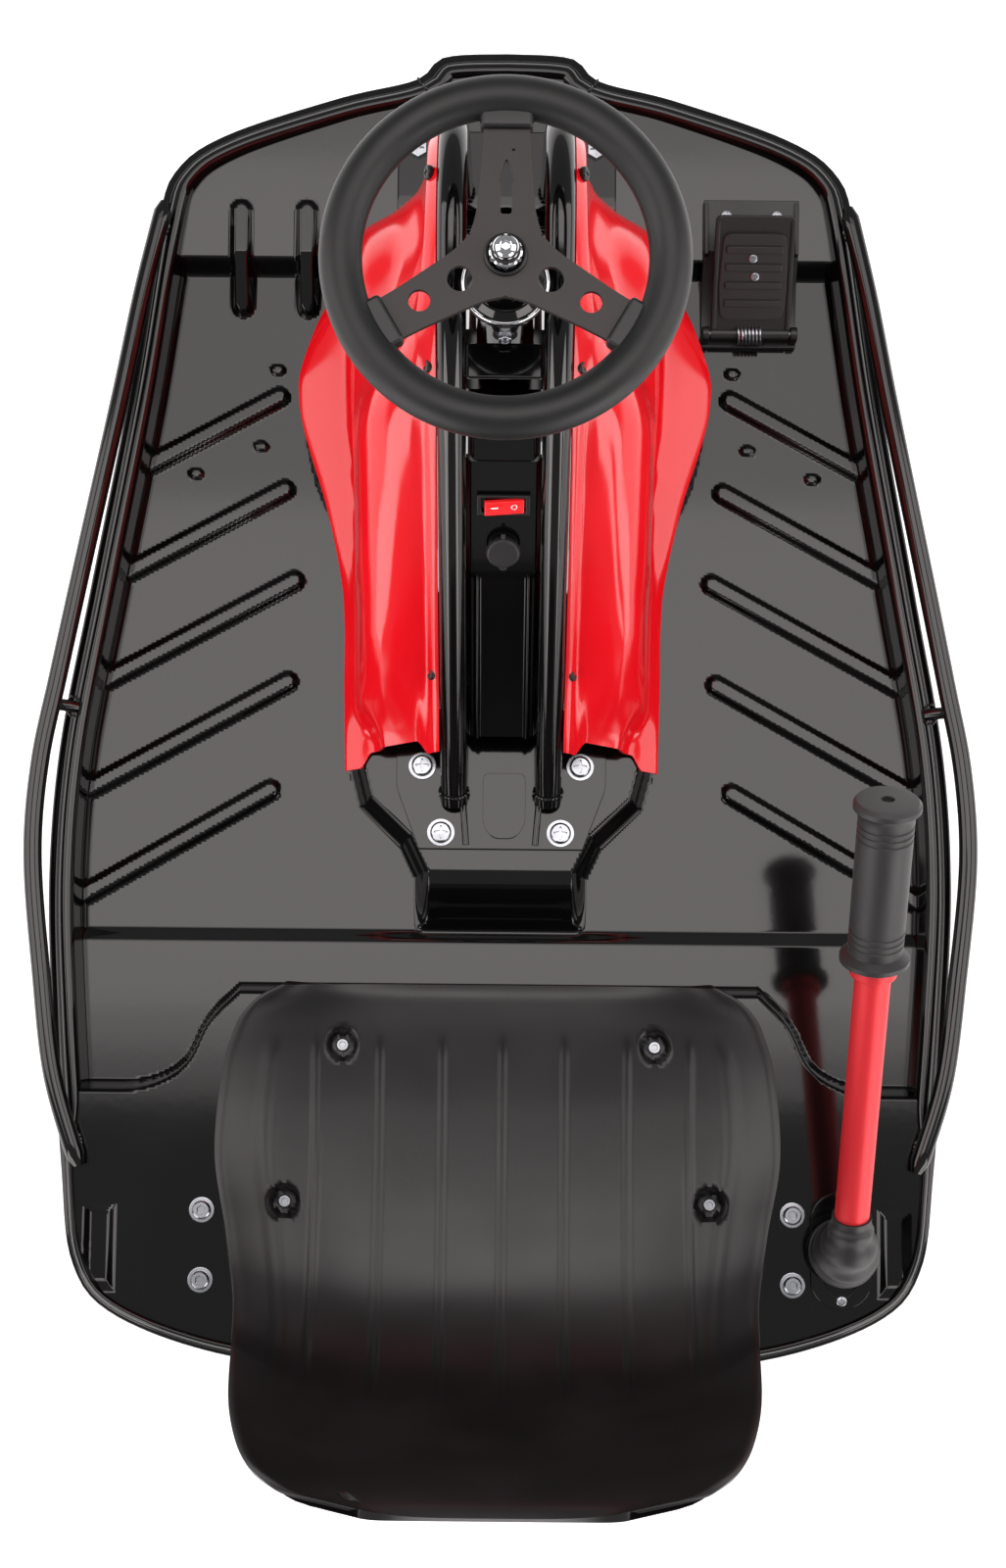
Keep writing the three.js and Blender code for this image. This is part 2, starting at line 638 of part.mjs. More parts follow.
// ---------------------------------------------------------------- seat
// The seat's middle line in side view, as [y, z], from its front lip to the top of its back.
const SEAT_LINE = [
  [SEAT_FRONT_Y, 122], [-200, 120], [-260, 114], [-330, 116], [-385, 128], [-425, 160],
  [-450, 212], [-468, 272], [-480, 325], [SEAT_BACK_Y + 4.47, 345],
];
const SEAT_THICKNESS = 5;

function seat() {
  const line = new THREE.SplineCurve(SEAT_LINE.map(([y, z]) => new THREE.Vector2(y, z)));
  const halfWidths = new THREE.SplineCurve(
    [[0, 168], [0.08, 184], [0.2, 188], [0.35, 178], [0.5, 172], [0.65, 176], [0.8, 176], [0.92, 150], [1, 112]]
      .map(([t, w]) => new THREE.Vector2(t, w)),
  );
  const lift = (t) => 26 + 20 * Math.sin(Math.PI * Math.min(1, t * 1.1)) ** 2;
  const top = (u, v) => {
    const side = 1 - u * 2;
    const middle = line.getPointAt(v);
    const along = line.getTangentAt(v);
    const curl = lift(v) * Math.abs(side) ** 4 * Math.min(1, (1.15 - v) * 2);
    const width = halfWidths.getPoint(v).y;
    return new THREE.Vector3(side * width, middle.x + along.y * curl, middle.y - along.x * curl);
  };
  const inward = (u, v) => {
    const along = line.getTangentAt(v);
    return new THREE.Vector3(0, -along.y * SEAT_THICKNESS, along.x * SEAT_THICKNESS);
  };
  const atBolts = (radius, from, to) => Object.values(SEAT_BOLTS).flatMap(([x, y, head, boss]) => {
    const post = rod(radius, head + from, head + to(boss), 12);
    return [post.clone().translate(x, y, 0), post.translate(-x, y, 0)];
  });
  const bosses = atBolts(12.5, -7, (boss) => boss);
  const recesses = atBolts(9.5, -GAP, () => 60);
  const holes = atBolts(3.4, -40, () => 0);
  return cut(joined(sheetSolid(top, inward, 12, 13), ...bosses), ...recesses, ...holes);
}
add("seat", seat(), finish(COLOR.blackPlastic, 0.6, 0));

for (const [place, [x, y, head]] of Object.entries(SEAT_BOLTS)) {
  const foot = DECK + GAP;
  const bolt = turned([[0, foot], [3, foot], [3, head], [6.5, head], [6.5, head + 4], [0, head + 4]], 12);
  addPair(`seat_bolt_${place}`, bolt.translate(x, y, 0), zinc);
}

// ---------------------------------------------------------------- throttle pedal
function pedalHousing() {
  const outline = [
    [286, FLOOR + GAP], [TOE_STEP_Y - 2, FLOOR + GAP], [TOE_STEP_Y + 8.5, TOE_LOW + 0.5],
    [386, toeHeight(386) + 0.5], [386, 97], [350, 92], [330, 76], [302, 69], [286, 69],
  ];
  const base = sideSlab(outline, PEDAL_X - 34, PEDAL_X + 34);
  const [hingeY, hingeZ] = PEDAL_HINGE;
  const ear = joined(
    box(PEDAL_HALF + 1, 34, hingeY - 5, hingeY + 5, 66, hingeZ),
    rodAcross(5, PEDAL_HALF + 1, 34, 16).translate(0, hingeY, hingeZ),
  );
  const body = joined(base, ear.clone().translate(PEDAL_X, 0, 0), mirrored(ear).translate(PEDAL_X, 0, 0));
  return cut(body, rodAcross(2.4, -40, 40, 12).translate(PEDAL_X, hingeY, hingeZ));
}
add("pedal_housing", pedalHousing(), finish(COLOR.blackPlastic, 0.6, 0));

const pedalPlace = new THREE.Group();
pedalPlace.position.set(PEDAL_X, ...PEDAL_HINGE);
kart.add(pedalPlace);
add("pedal_pin", rodAcross(2, -33, 33, 12), zinc(), pedalPlace);

function pedal() {
  const plate = box(-PEDAL_HALF, PEDAL_HALF, -3.6, PEDAL_LENGTH, -2, 4);
  const knuckle = rodAcross(4.5, -PEDAL_HALF, PEDAL_HALF, 16);
  return cut(joined(plate, knuckle), rodAcross(2.3, -40, 40, 12)).rotateX(PEDAL_ANGLE);
}
add("throttle_pedal", pedal(), finish(COLOR.blackPlastic, 0.5, 0), pedalPlace);

// ---------------------------------------------------------------- drift lever and caster beam
const beamPlace = new THREE.Group();
beamPlace.position.set(0, BEAM_Y, BEAM_Z);
kart.add(beamPlace);

function casterBeam() {
  const plate = box(CASTER_X - 20, CASTER_X + 20, -20, 20, CASTER_PLATE_TOP - 4 - BEAM_Z, -8);
  const pinHole = rod(5.4, -30, CASTER_PLATE_TOP - BEAM_Z, 16).translate(CASTER_X, 0, 0);
  const beam = joined(rodAcross(BEAM_RADIUS, -BEAM_HALF, BEAM_HALF, 24), plate, mirrored(plate));
  return cut(beam, pinHole, mirrored(pinHole));
}
add("caster_beam", casterBeam(), blackPaint(), beamPlace);

function beamBearing() {
  const block = box(BEARING_X - 13, BEARING_X + 13, -30, 30, -15, DECK - SHEET - GAP - BEAM_Z);
  return cut(block, rodAcross(BEAM_RADIUS + GAP, BEARING_X - 20, BEARING_X + 20, 24));
}
addPair("beam_bearing", beamBearing().translate(0, BEAM_Y, BEAM_Z), steel);

const leverUp = [Math.cos(LEVER_RISE), Math.sin(LEVER_RISE)];
const leverAt = (distance) => [
  LEVER_X,
  LEVER_BEND[0] + 6 + leverUp[0] * distance,
  LEVER_BEND[1] + 6 + leverUp[1] * distance,
];

function leverGrip() {
  const inner = LEVER_RADIUS + 0.4;
  const end = GRIP_LENGTH;
  const grip = turned([
    [inner, 0], [22, 0], [22, 4], [GRIP_RADIUS, 8], [GRIP_RADIUS, end - 9], [21, end - 5], [21, end],
    [0, end], [0, end - 6], [inner, end - 6], [inner, 0],
  ], 18);
  const [x, y, z] = leverAt(LEVER_LENGTH - GRIP_LENGTH + 6.4);
  return grip.rotateX(LEVER_RISE - Math.PI / 2).translate(x, y, z);
}
add("lever_grip", leverGrip(), rubber());

const leverRoot = [
  [LEVER_X, ...LEVER_FOOT],
  [LEVER_X, LEVER_FOOT[0] - 1, LEVER_FOOT[1] + 22],
  leverAt(14),
  leverAt(60),
];

const leverTube = tubeAlong([...leverRoot, leverAt(150), leverAt(LEVER_LENGTH)], LEVER_RADIUS, 20, 12);
add("drift_lever", leverTube, finish(COLOR.redPaint, 0.3, 0.1));

function leverBoot() {
  const foot = DECK + 2.8;
  const dome = turned([
    [0, foot], [BOOT_RADIUS, foot], [BOOT_RADIUS, foot + 8], [BOOT_RADIUS * 0.87, foot + 17],
    [BOOT_RADIUS * 0.6, BOOT_TOP], [0, BOOT_TOP],
  ], 18).translate(LEVER_X, BEAM_Y, 0);
  const neck = tubeAlong([[LEVER_X, BEAM_Y, foot + 10], [LEVER_X, BEAM_Y, foot + 24], leverAt(0),
    leverAt(BOOT_NECK)], LEVER_RADIUS + 4, 6, 10);
  return cut(joined(dome, neck), tubeAlong(leverRoot, LEVER_RADIUS + 1.2, 10, 10));
}
add("lever_boot", leverBoot(), rubber());

function bootPlate() {
  const outline = circlePoints(BOOT_RADIUS - 1, 20).map(([x, y]) => [x, y + Math.sign(Math.round(y)) * 18]);
  const plate = slab(outline, DECK + GAP, DECK + 2.5);
  return cut(plate, slab(slotOutline(), DECK - 1, DECK + 10)).translate(LEVER_X, BEAM_Y, 0);
}
add("boot_plate", bootPlate(), rubber());

// ---------------------------------------------------------------- casters
// A swivelling fork with its pin up at the origin's x and y and its wheel trailing behind.
function casterFork({ crown, axleZ, trail, wheelHalf, crownRadius, pinTop, pinRadius }) {
  const legOuter = wheelHalf + 5.5;
  const disc = joined(rod(crownRadius, crown, crown + 5), rod(pinRadius, crown + 1, pinTop, 12));
  const legOutline = [[8, crown + 2], [-10, crown + 2], [-trail - 7, axleZ - 2], [-trail, axleZ - 8],
    [-trail + 7, axleZ - 2]];
  const leg = sideSlab([...legOutline].reverse(), wheelHalf + 2.5, legOuter);
  const body = joined(disc, box(-legOuter, legOuter, -10, 8, crown, crown + 3), leg, mirrored(leg));
  return cut(body, rodAcross(2.9, -40, 40, 10).translate(0, -trail, axleZ));
}

function casterWheel(radius, halfWidth, trail, axleZ) {
  return turnedAcross([
    [3, -halfWidth], [radius - 4, -halfWidth], [radius, -halfWidth + 4], [radius, halfWidth - 4],
    [radius - 4, halfWidth], [3, halfWidth], [3, -halfWidth],
  ], 24).translate(0, -trail, axleZ);
}

function placedCaster(x, y, geometry) {
  return geometry.translate(x, y, 0);
}

const rearFork = casterFork({
  crown: 62.6, axleZ: CASTER_RADIUS, trail: CASTER_TRAIL, wheelHalf: 11, crownRadius: 17, pinTop: 72,
  pinRadius: 5,
});
addPair("rear_caster_fork", placedCaster(CASTER_X, BEAM_Y, rearFork), zinc);
const rearWheel = casterWheel(CASTER_RADIUS, 11, CASTER_TRAIL, CASTER_RADIUS);
addPair("rear_caster_wheel", placedCaster(CASTER_X, BEAM_Y, rearWheel), () => finish(COLOR.tyre, 0.6, 0));
const rearPin = rodAcross(2.6, -18, 18, 10).translate(0, -CASTER_TRAIL, CASTER_RADIUS);
addPair("rear_caster_axle", placedCaster(CASTER_X, BEAM_Y, rearPin), zinc);

const tipAxleZ = ANTI_TIP_RADIUS + ANTI_TIP_CLEARANCE;
const tipPlateTop = FLOOR - SHEET - GAP;
const tipPlate = cut(box(-19, 19, -19, 19, tipPlateTop - 4, tipPlateTop), rod(5.3, 40, 80, 14));
addPair("front_caster_plate", placedCaster(ANTI_TIP_X, ANTI_TIP_Y, tipPlate), zinc);
const tipFork = casterFork({
  crown: tipPlateTop - 10, axleZ: tipAxleZ, trail: ANTI_TIP_TRAIL, wheelHalf: 9, crownRadius: 14,
  pinTop: tipPlateTop - 0.5, pinRadius: 5,
});
addPair("front_caster_fork", placedCaster(ANTI_TIP_X, ANTI_TIP_Y, tipFork), zinc);
const tipWheel = casterWheel(ANTI_TIP_RADIUS, 9, ANTI_TIP_TRAIL, tipAxleZ);
addPair("front_caster_wheel", placedCaster(ANTI_TIP_X, ANTI_TIP_Y, tipWheel), () => finish(COLOR.tyre, 0.6, 0));

export default kart;
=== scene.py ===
"""Looks of a child's electric drift kart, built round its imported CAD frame.

Sizes are in millimetres in the row frame (X right, Y forward, Z up). Every mesh is scaled to
metres once, when it is finished.
"""
import json
import logging
import math
from dataclasses import dataclass
from enum import Enum
from typing import Callable, Iterable, Optional, Sequence

import bmesh
import bpy
import numpy as np
from mathutils import Matrix, Vector


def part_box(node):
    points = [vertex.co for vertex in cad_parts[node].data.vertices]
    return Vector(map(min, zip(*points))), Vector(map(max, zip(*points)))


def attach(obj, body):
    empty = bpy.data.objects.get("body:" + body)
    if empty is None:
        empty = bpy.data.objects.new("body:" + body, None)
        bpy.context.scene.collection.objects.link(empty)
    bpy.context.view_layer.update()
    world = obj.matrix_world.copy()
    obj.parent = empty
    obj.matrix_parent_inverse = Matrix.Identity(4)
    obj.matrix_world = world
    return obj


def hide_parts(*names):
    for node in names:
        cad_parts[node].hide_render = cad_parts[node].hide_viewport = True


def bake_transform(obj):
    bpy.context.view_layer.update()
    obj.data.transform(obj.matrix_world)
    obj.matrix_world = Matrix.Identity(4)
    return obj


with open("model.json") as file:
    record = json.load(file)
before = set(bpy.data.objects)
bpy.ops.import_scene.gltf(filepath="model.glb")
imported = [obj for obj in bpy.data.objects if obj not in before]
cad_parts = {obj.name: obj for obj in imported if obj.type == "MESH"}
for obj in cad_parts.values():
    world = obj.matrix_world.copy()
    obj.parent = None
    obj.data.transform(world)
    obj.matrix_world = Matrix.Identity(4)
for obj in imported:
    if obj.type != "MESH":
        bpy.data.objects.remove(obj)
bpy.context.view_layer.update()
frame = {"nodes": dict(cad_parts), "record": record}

BMesh = bmesh.types.BMesh
Point = Sequence[float]
MM = 0.001
LOG = logging.getLogger("kart")


# ------------------------------------------------------------------ finishes
class Relief(Enum):
    """How a surface was made, which decides its fine relief."""

    ORANGE_PEEL = "sprayed and stoved"
    SPARK_GRAIN = "moulded in a spark-eroded tool"
    FOAM_SKIN = "moulded foam skin"
    BRUSHED = "brushed or lapped"
    SPANGLE = "electroplated and passivated"
    CAST = "die cast"
    POLISHED = "polished"


def linear(hex_colour: str) -> tuple[float, float, float, float]:
    """Turns an sRGB hex colour to linear RGBA.

    Args:
        hex_colour: Six hex digits with a leading hash.

    Returns:
        Linear red, green, blue and an alpha of one.
    """
    parts = [int(hex_colour[i:i + 2], 16) / 255 for i in (1, 3, 5)]
    red, green, blue = (c / 12.92 if c <= 0.04045 else ((c + 0.055) / 1.055) ** 2.4 for c in parts)
    return red, green, blue, 1.0


def add_node(tree: bpy.types.NodeTree, kind: str, values: Optional[dict] = None,
             links: Optional[dict] = None, **settings: object) -> bpy.types.Node:
    """Adds one node with its settings, socket values and incoming links.

    Args:
        tree: Node tree that gets the node.
        kind: Blender's identifier of the node type.
        values: Default values by input socket name.
        links: Source sockets by input socket name.
        settings: Properties of the node itself.

    Returns:
        The new node.
    """
    node = tree.nodes.new(kind)
    for name, value in settings.items():
        setattr(node, name, value)
    for name, value in (values or {}).items():
        node.inputs[name].default_value = value
    for name, source in (links or {}).items():
        tree.links.new(source, node.inputs[name])
    return node


@dataclass(frozen=True)
class Finish:
    """One real surface: what it is made of and how it was made.

    Attributes:
        name: Common name of the material and process.
        slot: The record's material slot; not used.
        colour: Main colour, sRGB hex.
        cast: Colour it drifts to over the surface, sRGB hex.
        roughness: Mean roughness.
        relief: How the surface was made.
        grain_mm: Size of one bump of the fine relief.
        depth_mm: Height of that relief.
        metallic: One for bare metal, else nought.
        ior: Refractive index of a plastic or paint.
        drift_mm: Size of the soft patches of colour and gloss.
        sheen: Weight of the soft fibre or foam bloom.
        painted_glow: Strength of a painted glow, light given off in the surface's own colour though it is no
            lamp.
    """

    name: str
    slot: str
    colour: str
    cast: str
    roughness: float
    relief: Relief
    grain_mm: float
    depth_mm: float
    metallic: float = 0.0
    ior: float = 1.5
    drift_mm: float = 70.0
    sheen: float = 0.0
    painted_glow: float = 0.0

    def material(self) -> bpy.types.Material:
        """Returns this finish's material, made on first use."""
        made = bpy.data.materials.get(self.name)
        return made or self._make()

    def _make(self) -> bpy.types.Material:
        """Builds the node tree: drift of colour and gloss, then fine relief."""
        material = bpy.data.materials.new(self.name)
        material.use_nodes = True
        tree = material.node_tree
        tree.nodes.clear()
        place = add_node(tree, "ShaderNodeTexCoord").outputs["Object"]
        drift = add_node(tree, "ShaderNodeTexNoise", {"Scale": 1 / (self.drift_mm * MM), "Detail": 2.0},
                         {"Vector": place}).outputs["Fac"]
        # A Mix node set to colour has its factor, colours and result at these places.
        colour = add_node(tree, "ShaderNodeMix", {6: linear(self.colour), 7: linear(self.cast)},
                          {0: self._contrast(tree, drift, 0.35, 0.75)}, data_type="RGBA")
        gloss = add_node(tree, "ShaderNodeMapRange",
                         {"From Min": 0.3, "From Max": 0.7, "To Min": self.roughness * 0.9,
                          "To Max": min(1.0, self.roughness * 1.12)}, {"Value": drift})
        # Emission in the surface's own colour is a painted glow, not light from a lamp.
        shader = add_node(tree, "ShaderNodeBsdfPrincipled",
                          {"Metallic": self.metallic, "Sheen Weight": self.sheen,
                           "Sheen Roughness": 0.45, "Emission Color": linear(self.colour),
                           "Emission Strength": self.painted_glow},
                          {"Base Color": colour.outputs[2], "Roughness": gloss.outputs["Result"]})
        if not self.metallic:
            shader.inputs["IOR"].default_value = self.ior
        if self.relief is not Relief.POLISHED:
            bump = add_node(tree, "ShaderNodeBump", {"Strength": 1.0, "Distance": self.depth_mm * MM},
                            {"Height": self._height(tree, place)})
            tree.links.new(bump.outputs["Normal"], shader.inputs["Normal"])
        add_node(tree, "ShaderNodeOutputMaterial", None, {"Surface": shader.outputs["BSDF"]})
        return material

    @staticmethod
    def _contrast(tree: bpy.types.NodeTree, source: bpy.types.NodeSocket, low: float,
                  high: float) -> bpy.types.NodeSocket:
        """Stretches low..high of a pattern to nought..one and returns the result's socket."""
        ramp = add_node(tree, "ShaderNodeMapRange", {"From Min": low, "From Max": high},
                        {"Value": source}, interpolation_type="SMOOTHSTEP")
        return ramp.outputs["Result"]

    def _height(self, tree: bpy.types.NodeTree, place: bpy.types.NodeSocket) -> bpy.types.NodeSocket:
        """Adds the pattern that the relief follows.

        Args:
            tree: The material's node tree.
            place: Object coordinates, in metres.

        Returns:
            The socket that carries the height.
        """
        scale = 1 / (self.grain_mm * MM)
        if self.relief is Relief.BRUSHED:
            # Brush lines run along X, sixteen grains long.
            squeeze = add_node(tree, "ShaderNodeMapping", {"Scale": (1 / 16, 1.0, 1.0)}, {"Vector": place})
            return add_node(tree, "ShaderNodeTexNoise", {"Scale": scale, "Detail": 3.0},
                            {"Vector": squeeze.outputs["Vector"]}).outputs["Fac"]
        if self.relief in (Relief.SPANGLE, Relief.FOAM_SKIN):
            cells = add_node(tree, "ShaderNodeTexVoronoi", {"Scale": scale}, {"Vector": place},
                             feature="SMOOTH_F1")
            return cells.outputs["Distance"]
        detail = {Relief.ORANGE_PEEL: 0.0, Relief.SPARK_GRAIN: 4.0}.get(self.relief, 2.0)
        return add_node(tree, "ShaderNodeTexNoise", {"Scale": scale, "Detail": detail, "Roughness": 0.6},
                        {"Vector": place}).outputs["Fac"]


# Stoved gloss enamel on pressed steel: deep black that mirrors the room, with a long, faint peel.
ENAMEL = Finish("stoved_gloss_enamel", "black_enamel", "#080808", "#0b0a0a", 0.075, Relief.ORANGE_PEEL,
                4.5, 0.006)
# Injection moulded gloss ABS: strong red skin, near mirror gloss, slight sink waviness.
RED_ABS = Finish("moulded_gloss_abs", "red_gloss_abs", "#dd0f1b", "#e3131f", 0.14, Relief.ORANGE_PEEL,
                 9.0, 0.012, ior=1.52)
# Blow moulded polyethylene seat: charcoal with a fine grain; drawn at 1.1 mm so that it shows.
SEAT_SHELL = Finish("blow_moulded_polyethylene", "moulded_black_seat", "#0d0b0c", "#131011", 0.38,
                    Relief.SPARK_GRAIN, 1.1, 0.05, ior=1.51)
# Glass-filled nylon: dull black from the tool's spark grain.
NYLON = Finish("moulded_glass_filled_nylon", "moulded_black_nylon", "#0d0c0d", "#131213", 0.44,
               Relief.SPARK_GRAIN, 0.9, 0.03, ior=1.53)
# Red powder coat on steel tube: softer gloss than the moulded red, with a short peel.
RED_POWDER = Finish("red_powder_coat", "red_powder_coat", "#d9111c", "#e21823", 0.17, Relief.ORANGE_PEEL,
                    2.2, 0.02)
# Moulded rubber: soft black, slightly bloomed.
RUBBER = Finish("moulded_rubber", "black_rubber", "#151415", "#1d1c1d", 0.5, Relief.SPARK_GRAIN, 0.8, 0.03,
                ior=1.52, sheen=0.06)
# Self-skinned polyurethane foam: dark grey with a broad, soft highlight and tiny closed cells.
FOAM = Finish("self_skinned_foam", "black_pu_foam", "#0b0c0c", "#101111", 0.46, Relief.FOAM_SKIN, 0.9, 0.02,
              ior=1.45, sheen=0.05)
# Bead-blasted and dark anodised aluminium plate: flat, satin warm grey.
PLATE = Finish("dark_anodised_aluminium", "grey_anodised_plate", "#363433", "#3d3a39", 0.5,
               Relief.SPARK_GRAIN, 0.5, 0.012, metallic=0.6)
# Bright chrome over nickel: clean mirror.
CHROME = Finish("bright_chrome_plate", "chrome_plate", "#dcdde0", "#d2d4d8", 0.05, Relief.POLISHED, 1.0, 0.0,
                metallic=1.0)
# Turned and milled steel: grey with fine tool lines.
STEEL = Finish("machined_steel", "machined_steel", "#8b8c8f", "#7b7b7e", 0.32, Relief.BRUSHED, 0.5, 0.012,
               metallic=1.0)
# Zinc plate with clear passivation: pale, slightly cloudy metal.
ZINC = Finish("clear_zinc_plate", "zinc_plate", "#b2b5ba", "#9b9ea3", 0.27, Relief.SPANGLE, 2.4, 0.004,
              metallic=1.0, drift_mm=14.0)
# Filled tyre rubber: very matt black with faint dust.
TYRE = Finish("tyre_rubber", "tyre_rubber", "#18181a", "#232222", 0.82, Relief.SPARK_GRAIN, 1.6, 0.08,
              ior=1.52, drift_mm=24.0)
# Cast polyurethane caster tread: dense black, smooth turned face.
CASTER = Finish("cast_polyurethane", "caster_polyurethane", "#1b1b1c", "#242424", 0.35, Relief.ORANGE_PEEL,
                3.0, 0.01, ior=1.5)
# Die cast aluminium: light grey skin with a shallow cast texture.
CAST_ALLOY = Finish("die_cast_aluminium", "cast_aluminium", "#8d9092", "#7c7f82", 0.42, Relief.CAST, 1.4,
                    0.04, metallic=1.0)
# Battery case ABS: plain dark blue-grey, light tool grain.
BATTERY_ABS = Finish("battery_case_abs", "battery_case_abs", "#2c2f36", "#34373e", 0.45, Relief.SPARK_GRAIN,
                     1.0, 0.03, ior=1.53)
# Tinted polycarbonate rocker: clear deep red, brightened by a painted glow of emission in its own red.
ROCKER = Finish("tinted_polycarbonate", "translucent_red_rocker", "#e0101c", "#ff3030", 0.16,
                Relief.ORANGE_PEEL, 6.0, 0.004, ior=1.58, painted_glow=0.25)
# White screen print on the rocker: thin, satin ink film.
INK = Finish("white_screen_ink", "translucent_red_rocker", "#ececec", "#ffffff", 0.4, Relief.ORANGE_PEEL,
             2.0, 0.004)


# ------------------------------------------------------------------ mesh making
class Recess(Enum):
    """The outline of one level of a turned or headed part."""

    ROUND = "round"
    HEX = "hexagon"
    CROSS = "cross"


def spline(knots: Sequence[Point], count: int, centripetal: bool = False) -> np.ndarray:
    """Evenly spaced points on a Catmull-Rom curve.

    Args:
        knots: Points that the curve passes through.
        count: How many points to return.
        centripetal: Whether knots far apart get more of the curve's parameter.

    Returns:
        One row for each point.
    """
    rows = np.array(knots, float)
    ends = (2 * rows[0] - rows[1], 2 * rows[-1] - rows[-2]) if centripetal else (rows[0], rows[-1])
    full = np.vstack([ends[0], rows, ends[1]])
    s = np.linspace(0, 1, 41)[:-1, None]
    dense = []
    for p0, p1, p2, p3 in zip(full, full[1:], full[2:], full[3:]):
        leave, arrive = (p2 - p0) / 2, (p3 - p1) / 2
        if centripetal:
            g0, g1, g2 = (math.sqrt(np.linalg.norm(b - a)) for a, b in ((p0, p1), (p1, p2), (p2, p3)))
            leave = ((p1 - p0) / g0 - (p2 - p0) / (g0 + g1) + (p2 - p1) / g1) * g1
            arrive = ((p2 - p1) / g1 - (p3 - p1) / (g1 + g2) + (p3 - p2) / g2) * g1
        dense.append((2 * s**3 - 3 * s**2 + 1) * p1 + (s**3 - 2 * s**2 + s) * leave
                     + (3 * s**2 - 2 * s**3) * p2 + (s**3 - s**2) * arrive)
    line = np.vstack([*dense, rows[-1:]])
    along = np.concatenate([[0], np.cumsum(np.linalg.norm(np.diff(line, axis=0), axis=1))])
    at = np.linspace(0, along[-1], count)
    return np.stack([np.interp(at, along, line[:, k]) for k in range(line.shape[1])], axis=1)


def eased(corners: Sequence[Point], radius: float, closed: bool = False, steps: int = 4) -> list[Vector]:
    """Rounds the corners of a polyline.

    Args:
        corners: Points of the polyline.
        radius: How far from each corner its rounding starts.
        closed: Whether the last point joins the first.
        steps: Pieces in each rounding.

    Returns:
        The points of the rounded line.
    """
    points = [Vector(p) for p in corners]
    rounded: list[Vector] = []
    for i, corner in enumerate(points):
        if not closed and i in (0, len(points) - 1):
            rounded.append(corner)
            continue
        back, on = points[i - 1] - corner, points[(i + 1) % len(points)] - corner
        start = corner + back.normalized() * min(radius, back.length * 0.47)
        end = corner + on.normalized() * min(radius, on.length * 0.47)
        for k in range(steps + 1):
            s = k / steps
            rounded.append(start * (1 - s) ** 2 + corner * 2 * s * (1 - s) + end * s * s)
    return rounded


def circle(radius: float, count: int, x: float = 0.0, y: float = 0.0) -> list[tuple[float, float]]:
    """Points of a circle in plan.

    Args:
        radius: The circle's radius.
        count: How many points.
        x: Its centre across the kart.
        y: Its centre along the kart.

    Returns:
        The points, anticlockwise.
    """
    turns = (math.tau * i / count for i in range(count))
    return [(x + radius * math.cos(a), y + radius * math.sin(a)) for a in turns]


def lofted(sections: Sequence[Sequence[Point]], closed: bool = False) -> BMesh:
    """Extrudes a loop of vertices through a row of sections.

    Args:
        sections: Loops with equal counts of points.
        closed: Whether the last section joins the first; otherwise both ends are capped.

    Returns:
        A closed shell.
    """
    mesh = bmesh.new()
    mark = mesh.verts.layers.int.new("mark")
    loop = [mesh.verts.new(point) for point in sections[0]]
    for index, vert in enumerate(loop):
        vert[mark] = index
    start = edges = [mesh.edges.new(pair) for pair in zip(loop, loop[1:] + loop[:1])]
    for section in [*sections[1:], *(sections[:1] if closed else [])]:
        made = bmesh.ops.extrude_edge_only(mesh, edges=edges)["geom"]
        edges = [part for part in made if isinstance(part, bmesh.types.BMEdge) and part.is_boundary]
        for vert in made:
            if isinstance(vert, bmesh.types.BMVert):
                vert.co = section[vert[mark]]
    if closed:
        bmesh.ops.remove_doubles(mesh, verts=mesh.verts[:], dist=0.001)
    else:
        for end in (start, edges):
            bmesh.ops.edgeloop_fill(mesh, edges=end)
    bmesh.ops.recalc_face_normals(mesh, faces=mesh.faces[:])
    return mesh


def tube(path: Sequence[Point], radius: float | Callable[[float], float], sides: int = 24,
         closed: bool = False) -> BMesh:
    """A round bar or pipe along a path.

    Args:
        path: Points of the centreline.
        radius: One radius, or the radius at each share of the length.
        sides: Flats round the bar.
        closed: Whether the path is a loop.

    Returns:
        The bar.
    """
    points = [Vector(point) for point in path]
    last = len(points) - 1
    across: Optional[Vector] = None
    sections = []
    for i, point in enumerate(points):
        back = points[i - 1] if i or closed else points[0]
        on = points[(i + 1) % (last + 1)] if i < last or closed else points[last]
        along = (on - back).normalized()
        start = along.orthogonal() if across is None else across - along * across.dot(along)
        across = start.normalized()
        up = along.cross(across)
        size = radius(i / last) if callable(radius) else radius
        sections.append([point + across * x + up * y for x, y in circle(size, sides)])
    return lofted(sections, closed)


def turned(profile: Sequence[Point], steps: int = 64) -> BMesh:
    """Turns a part about Z.

    Args:
        profile: Radius and height of each corner, ending on itself or on the axis.
        steps: Cells round the part.

    Returns:
        The turned shell.
    """
    mesh = bmesh.new()
    verts = [mesh.verts.new((r, 0, z)) for r, z in profile]
    edges = [mesh.edges.new(pair) for pair in zip(verts, verts[1:])]
    bmesh.ops.spin(mesh, geom=verts + edges, cent=(0, 0, 0), axis=(0, 0, 1), angle=math.tau,
                   steps=steps, use_merge=True)
    bmesh.ops.remove_doubles(mesh, verts=mesh.verts[:], dist=0.001)
    bmesh.ops.recalc_face_normals(mesh, faces=mesh.faces[:])
    return mesh


def washer(outer: float, inner: float, low: float, high: float, ease: float = 0.4) -> BMesh:
    """A turned ring with eased edges."""
    loop = eased([(inner, low), (outer, low), (outer, high), (inner, high)], ease, closed=True, steps=2)
    return turned([*loop, loop[0]], 48)


